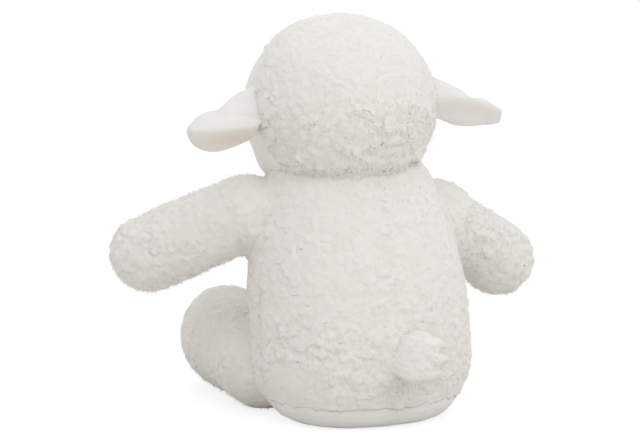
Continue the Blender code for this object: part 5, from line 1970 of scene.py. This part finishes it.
@dataclass
class Ears:
    """Both ears: folded leaves of two velour layers that droop from the seam between wool and face."""

    head: Head
    fold: float = 0.0105
    above: float = 0.0030
    bead_out: float = 0.0022
    pressed_in: float = 0.0030
    ridge_round: float = 0.26
    drawn_in: float = 0.0007
    # The band of painted shade under the ridge: how far below it, and how wide.
    tint_under: float = 0.0060
    tint_width: float = 0.0055
    crease_depth: float = 0.0016
    crease_width: float = 0.0022
    left: EarShape = EarShape(
        0.0476,
        0.85,
        (
            (0.00, -14.5, 15.0, -13.0, 0.55, -10.0, 0.6),
            (0.12, -22.1, 11.0, -16.5, 0.72, -9.6, 1.0),
            (0.27, -26.5, 7.2, -17.5, 0.88, -9.0, 1.0),
            (0.41, -29.3, 1.8, -18.2, 1.00, -8.6, 0.6),
            (0.53, -31.0, -2.9, -18.6, 1.00, -8.4, 0.2),
            (0.65, -31.6, -3.6, -19.0, 0.95, -8.4, 0.0),
            (0.83, -29.3, -7.3, -18.8, 0.75, -8.4, 0.0),
            (0.93, -25.5, -11.6, -18.0, 0.55, -8.4, 0.0),
            (0.98, -21.3, -14.3, -17.6, 0.42, -8.4, 0.0),
            (1.00, -17.5, -17.1, -17.3, 0.35, -8.4, 0.0),
        ),
    )
    right: EarShape = EarShape(
        0.0502,
        0.45,
        (
            (0.00, -12.0, 18.5, 0.0, 0.55, 2.0, 0.0),
            (0.06, -12.8, 17.3, 0.0, 0.62, 2.0, 0.0),
            (0.17, -15.2, 14.3, -0.3, 0.75, 2.0, 0.0),
            (0.30, -18.3, 10.5, -1.0, 0.90, 2.0, 0.0),
            (0.43, -19.4, 6.7, -2.0, 1.00, 1.5, 0.3),
            (0.53, -19.6, 1.5, -3.0, 1.00, 0.0, 0.9),
            (0.70, -19.1, 0.6, -5.0, 0.90, -2.5, 1.0),
            (0.875, -18.4, -4.0, -8.5, 0.70, -6.5, 0.6),
            (0.974, -15.8, -8.6, -11.0, 0.50, -9.5, 0.0),
            (1.00, -12.7, -12.1, -12.4, 0.40, -12.0, 0.0),
        ),
    )

    def leaf(self, shape: EarShape, lining: bool) -> tuple[Array, ...]:
        """One ear's middle surface.

        Formula: straight lines from the lower edge to the upper edge. Across them the leaf rises to the rounded
        ridge, and a crease runs beside it. The lining lies behind the back, with its edges drawn in. The painted
        shade is a bell across the leaf, under the ridge, that fades towards the root and the tip.

        Args:
            shape: How the ear lies.
            lining: Whether it is the lining.

        Returns:
            Share along, height, and depth out of the plane at each point, how full the fabric is and its painted shade.
        """
        table = np.array(shape.shares)
        share = np.sin(np.linspace(0, math.pi / 2, 90))
        values = [smooth_profile(table[:, 0], table[:, column], share)[:, None] for column in range(1, 7)]
        lower, upper, ridge, deep, crease, sunk = values
        lower, upper, ridge, crease = lower * MM, upper * MM, ridge * MM, crease * MM
        across = (1 + np.sin(np.linspace(-math.pi / 2, math.pi / 2, 80))[None]) / 2
        up = lower + (upper - lower) * across
        above, below = np.maximum(upper - ridge, 1e-5), np.maximum(ridge - lower, 1e-5)
        from_ridge = np.clip(np.where(up > ridge, (up - ridge) / above, (ridge - up) / below), 0, 1)
        round_it = self.ridge_round
        slant = (np.sqrt(from_ridge**2 + round_it**2) - round_it) / (math.sqrt(1 + round_it**2) - round_it)
        narrow = ramp(upper - lower, 0, 0.012)
        depth = self.fold * deep * narrow * (1 - slant)
        depth = depth - self.crease_depth * sunk * np.exp(-(((up - crease) / self.crease_width) ** 2))
        edge = np.sqrt(np.clip(1 - (2 * across - 1) ** 8, 0, 1)) * np.sqrt(np.clip(1 - share[:, None] ** 12, 0, 1))
        # Painted shade in a band under the ridge.
        tint = np.exp(-(((up - ridge + self.tint_under) / self.tint_width) ** 2))
        tint = tint * np.sin(math.pi * share[:, None] ** 0.8)
        along = share[:, None] * np.ones_like(across)
        if lining:
            depth = depth - VELOUR_THICKNESS - SEAM_GAP
            centre = (upper + lower) / 2
            room = np.maximum(upper - lower, 1e-5)
            up = centre + (up - centre) * np.maximum(1 - 2 * self.drawn_in / room, 0.2)
            along = along * (1 - self.drawn_in / shape.length)
        return along, up, depth, edge, tint

    def build(self, side: Side) -> None:
        """Makes one ear's back and its lining."""
        shape = self.left if side is Side.LEFT else self.right
        head = self.head
        lean = head.face_seam_lean
        back = head.face_seam_back - self.above * math.tan(lean)
        outwards = np.array((side.value * math.sqrt(head.radius**2 - back**2 - self.above**2), back, self.above))
        root = head.centre + unit(outwards) * (head.radius + self.bead_out)
        seam_up = np.array((0, -math.sin(lean), math.cos(lean)))
        x_axis = np.array((side.value, 0.0, 0.0))
        y_axis = unit(np.cross(seam_up, x_axis))
        axes = np.stack([x_axis, y_axis, np.cross(x_axis, y_axis)])
        for word, finish, slot in (("back", EAR, "white_velour"), ("lining", LINING, "cream_velour")):
            along, up, depth, edge, tint = self.leaf(shape, word == "lining")
            hug = (1 - along) ** 3 * ((up**2 + depth**2) / (2 * head.radius) + self.pressed_in)
            waves = 0.0006 * smooth_noise(np.stack([along * shape.length, 0 * depth, up], -1), 0.012, 71 + side.value)
            faces = []
            for face in (1.0, -1.0):
                out = depth + waves + face * VELOUR_THICKNESS / 2 * (0.25 + 0.75 * edge)
                faces.append(root + np.stack([along * shape.length - hug, side.value * out, up], -1) @ axes)
            outer, inner = faces
            quads, triangles = shell_faces(outer.shape[:2], inner.shape[:2])
            points = np.concatenate([outer.reshape(-1, 3), inner.reshape(-1, 3)])
            name = f"ear_{side.word}_{word}"
            made = mesh_object(name, points, quads, triangles)
            # The depth attribute carries the painted shade under the ridge.
            attribute = made.data.attributes.new("depth", "FLOAT", "POINT")
            attribute.data.foreach_set("value", np.tile(shape.warmth * tint.ravel(), 2).astype(np.float32))
            made.data.materials.append(finish.material())
            bent(closed_up(made), ("head", f"ear_{side.word}"), name)


@dataclass
class Tail:
    """The tail: a flat tuft of two wool halves in the middle seam of the back."""

    torso: Torso
    length: float = 0.0360
    half_height: float = 0.0168
    half_thickness: float = 0.0068
    height: float = 0.0550
    turn: float = math.radians(28)
    curl: float = math.radians(38)
    bead_out: float = 0.0029
    tilt: float = math.radians(20)
    crease: float = 0.0190
    lobes: float = 0.08
    shares: tuple = (
        (-0.15, 0.58, 0.34),
        (0.00, 0.66, 0.42),
        (0.16, 0.84, 0.70),
        (0.38, 1.00, 1.00),
        (0.62, 1.00, 1.00),
        (0.82, 0.84, 0.80),
        (0.95, 0.52, 0.48),
        (1.00, 0.00, 0.00),
    )

    @property
    def root(self) -> Array:
        """Where the tail leaves the back."""
        share, _, deep, lean, _ = self.torso.outline()
        at = self.height / self.torso.height
        depth = float(np.interp(at, share, deep)) * self.torso.half_depth
        lean_at = float(np.interp(at, share, lean))
        back = depth - lean_at * self.torso.lean_forward + self.bead_out
        return np.array((lean_at * self.torso.lean_left, back, self.height))

    def way(self, along: Array | float) -> Array:
        """The way that the tail points at a share of its length."""
        turn = self.turn + self.curl * np.asarray(along)
        return np.stack([-np.sin(turn), np.cos(turn), 0 * turn], -1)

    def place(self, along: Array, aside: Array, up: Array) -> Array:
        """Points by their share along the tail, and how far they lie aside of its tilted arc and above it."""
        turn = self.turn + self.curl * along
        reach = self.length / self.curl
        arc = [reach * (np.cos(turn) - math.cos(self.turn)), reach * (np.sin(turn) - math.sin(self.turn)), 0 * turn]
        across = np.cross(UP, self.way(along))
        level = math.cos(self.tilt) * aside + math.sin(self.tilt) * up
        rise = math.cos(self.tilt) * up - math.sin(self.tilt) * aside
        return self.root + np.stack(arc, -1) + level[..., None] * across + rise[..., None] * UP

    def from_root(self, points: Array) -> Array:
        """How far points lie from the upright bar that the tail's root makes."""
        away = points - self.root
        beyond = np.maximum(np.abs(away[..., 2]) - 0.5 * self.half_height, 0)
        return np.sqrt(away[..., 0] ** 2 + away[..., 1] ** 2 + beyond**2) - 0.3 * self.half_thickness

    def build(self) -> None:
        """Makes both halves of the tail.

        Formula: half ellipses along an arc, whose ends run out in three lobes. The pile's pattern is drawn out along
        the tail.
        """
        root, way = self.root, self.way(0.5)
        table = np.array(self.shares)
        step = np.hypot(np.diff(table[:, 0]) * self.length, np.diff(table[:, 1]) * self.half_height)
        knots = np.append(0, np.cumsum(step))
        at = knots[-1] * np.linspace(0, 1, int(knots[-1] / (0.7 * GRAIN)))
        along, tall, thick = (np.maximum(smooth_profile(knots, table[:, column], at), 0) for column in range(3))
        pile = Pile(clump=0.0065, tuft=0.0032, rise=0.0022, sunk=0.0008, lean=0.0010, droop=0.2)
        gap = SEAM_GAP / 2
        for word, sign in (("left", -1), ("right", 1)):
            angle = np.linspace(-math.pi / 2, math.pi / 2, int(math.pi * self.half_height / (0.8 * GRAIN)))
            y = sign * (gap + self.half_thickness * thick[:, None] * np.cos(angle)[None])
            z = self.half_height * tall[:, None] * np.sin(angle)[None]
            lobes = self.lobes * np.cos(3 * math.pi * z / self.half_height) * along[:, None] ** 2
            share = along[:, None] * (1 + lobes)
            grid = self.place(share, y, z)
            middle = self.place(np.array(0.5), np.array(sign * 0.001), np.array(0.0))
            normals = grid_normals(grid, middle)
            drawn_out = grid - 0.5 * ((grid - root) @ way)[..., None] * way
            outer, depth, lean_way = pile.raised(grid, normals, 17, place=drawn_out)
            outer = outer + normals * filled_crease(self.torso.outside(grid), 0.008)[..., None]
            inner = self.place(0.97 * share, sign * np.maximum(0.55 * np.abs(y), gap), 0.92 * z)[::4, ::4]
            quads, triangles = shell_faces(outer.shape[:2], inner.shape[:2])
            points = np.concatenate([outer.reshape(-1, 3), inner.reshape(-1, 3)])
            lean = 0.3 * lean_way + 1.6 * self.way(share)
            more, faces, lock_root_shade = TUFT.grown(outer, normals, lean, np.ones(depth.shape), 5 + sign)
            # Painted shade: the pile's and the locks' depth darken the tail only a little.
            depths = np.concatenate([0.1 * depth.ravel(), np.ones(inner.shape[0] * inner.shape[1]), 0.2 * lock_root_shade])
            triangles = np.concatenate([triangles, faces + len(points)])
            points = np.concatenate([points, more])
            name = f"tail_{word}"
            made = mesh_object(name, points, quads, facets=triangles)
            attribute = made.data.attributes.new("depth", "FLOAT", "POINT")
            attribute.data.foreach_set("value", depths.astype(np.float32))
            made.data.materials.append(WOOL.material())
            ends = (root, root + 0.012 * self.way(0.0))
            bent(closed_up(made), ("torso", "tail"), name)


# Studio


def seen_rays(tree: Tree) -> bpy.types.NodeSocket:
    """Gives 1 for the rays that show the background: those from the camera, a gloss or a clear surface."""
    rays = tree.add("ShaderNodeLightPath").outputs
    seen = tree.maths("MAXIMUM", rays["Is Camera Ray"], rays["Is Glossy Ray"])
    return tree.maths("MAXIMUM", seen, rays["Is Transmission Ray"])


@dataclass
class Studio:
    """The pale floor, the light and the camera."""

    distance: float = 1.24
    azimuth: float = math.radians(160)
    elevation: float = math.radians(8)
    aim: tuple = (0.0282, -0.01026, 0.1363)
    lens: float = 100.0
    floor_half: float = 6.0
    floor_glow: float = 0.80
    floor_seen: tuple = (0.28, 0.28, 0.28, 1.0)
    floor_bounce: tuple = (0.75, 0.735, 0.71, 1.0)
    world: float = 0.855
    key_power: float = 1.4
    side_power: float = 3.0

    def build(self) -> None:
        """Makes the floor, the lamps, the world and the camera."""
        half = self.floor_half
        corners = np.array(((-half, -half, 0), (half, -half, 0), (half, half, 0), (-half, half, 0)))
        floor = mesh_object("floor", corners, np.array(((0, 1, 2, 3),)))
        material = bpy.data.materials.new("pale_floor")
        material.use_nodes = True
        tree = Tree(material.node_tree)
        shader = material.node_tree.nodes["Principled BSDF"]
        shader.inputs["Roughness"].default_value = 1.0
        shader.inputs["Specular IOR Level"].default_value = 0.0
        shader.inputs["Emission Color"].default_value = (1.0, 1.0, 1.0, 1.0)
        seen = seen_rays(tree)
        tree.set(shader.inputs["Emission Strength"], tree.maths("MULTIPLY", seen, self.floor_glow))
        colour = tree.add("ShaderNodeMix", {"Factor": seen}, data_type="RGBA")
        tree.set(colour.inputs[6], self.floor_bounce)
        tree.set(colour.inputs[7], self.floor_seen)
        tree.set(shader.inputs["Base Color"], colour.outputs[2])
        floor.data.materials.append(material)

        world = bpy.context.scene.world or bpy.data.worlds.new("studio")
        bpy.context.scene.world = world
        world.use_nodes = True
        tree = Tree(world.node_tree)
        background = next(node for node in world.node_tree.nodes if node.type == "BACKGROUND")
        background.inputs["Color"].default_value = (1.0, 1.0, 1.0, 1.0)
        seen = seen_rays(tree)
        strength = tree.add("ShaderNodeMix", {"Factor": seen}, data_type="FLOAT")
        tree.set(strength.inputs[2], self.world)
        tree.set(strength.inputs[3], 1.0)
        tree.set(background.inputs["Strength"], strength.outputs[0])

        for name, place, size, power in (
            ("overhead", (0.15, 0.35, 1.30), 1.1, self.key_power),
            ("side_key", (-0.35, 1.15, 0.80), 1.0, self.side_power),
            ("front_fill", (-0.2, -1.3, 0.9), 1.0, 1.0),
        ):
            light = bpy.data.lights.new(name, "AREA")
            light.energy = power
            light.size = size
            lamp = bpy.data.objects.new(name, light)
            lamp.location = place
            way = Vector((0.0, 0.0, 0.12)) - Vector(place)
            lamp.rotation_euler = way.to_track_quat("-Z", "Y").to_euler()
            bpy.context.scene.collection.objects.link(lamp)

        camera = bpy.data.objects.new("camera", bpy.data.cameras.new("camera"))
        camera.data.lens = self.lens
        camera.data.sensor_width = 36.0
        flat = math.cos(self.elevation)
        back = Vector((math.sin(self.azimuth) * flat, -math.cos(self.azimuth) * flat, math.sin(self.elevation)))
        camera.location = Vector(self.aim) + back * self.distance
        camera.rotation_euler = back.to_track_quat("Z", "Y").to_euler()
        bpy.context.scene.collection.objects.link(camera)
        bpy.context.scene.camera = camera
        bpy.context.scene.view_settings.view_transform = "Standard"


def main() -> None:
    """Builds the sheep and its studio."""
    logging.basicConfig(level=logging.INFO, format="%(name)s %(message)s")
    Studio().build()
    fibre_group()
    tint_group()
    arms, legs, head, torso = Arms(), Legs(), Head(), Torso()
    arm_pair, leg_pair = [arms.limb(side) for side in Side], [legs.limb(side) for side in Side]
    limbs = arm_pair + leg_pair
    for limb in limbs:
        limb.settle()
    torso.settle(limbs)
    head.settle()
    tail = Tail(torso)
    torso.build(limbs, head, tail)
    head.build()
    details, ears = FaceDetails(head), Ears(head)
    details.build_stitching()
    for arm, leg in zip(arm_pair, leg_pair):
        arms.build(arm, torso)
        legs.build(leg, torso)
    for side in Side:
        details.build_eye(side)
        ears.build(side)
    tail.build()


if __name__ == "__main__":
    main()
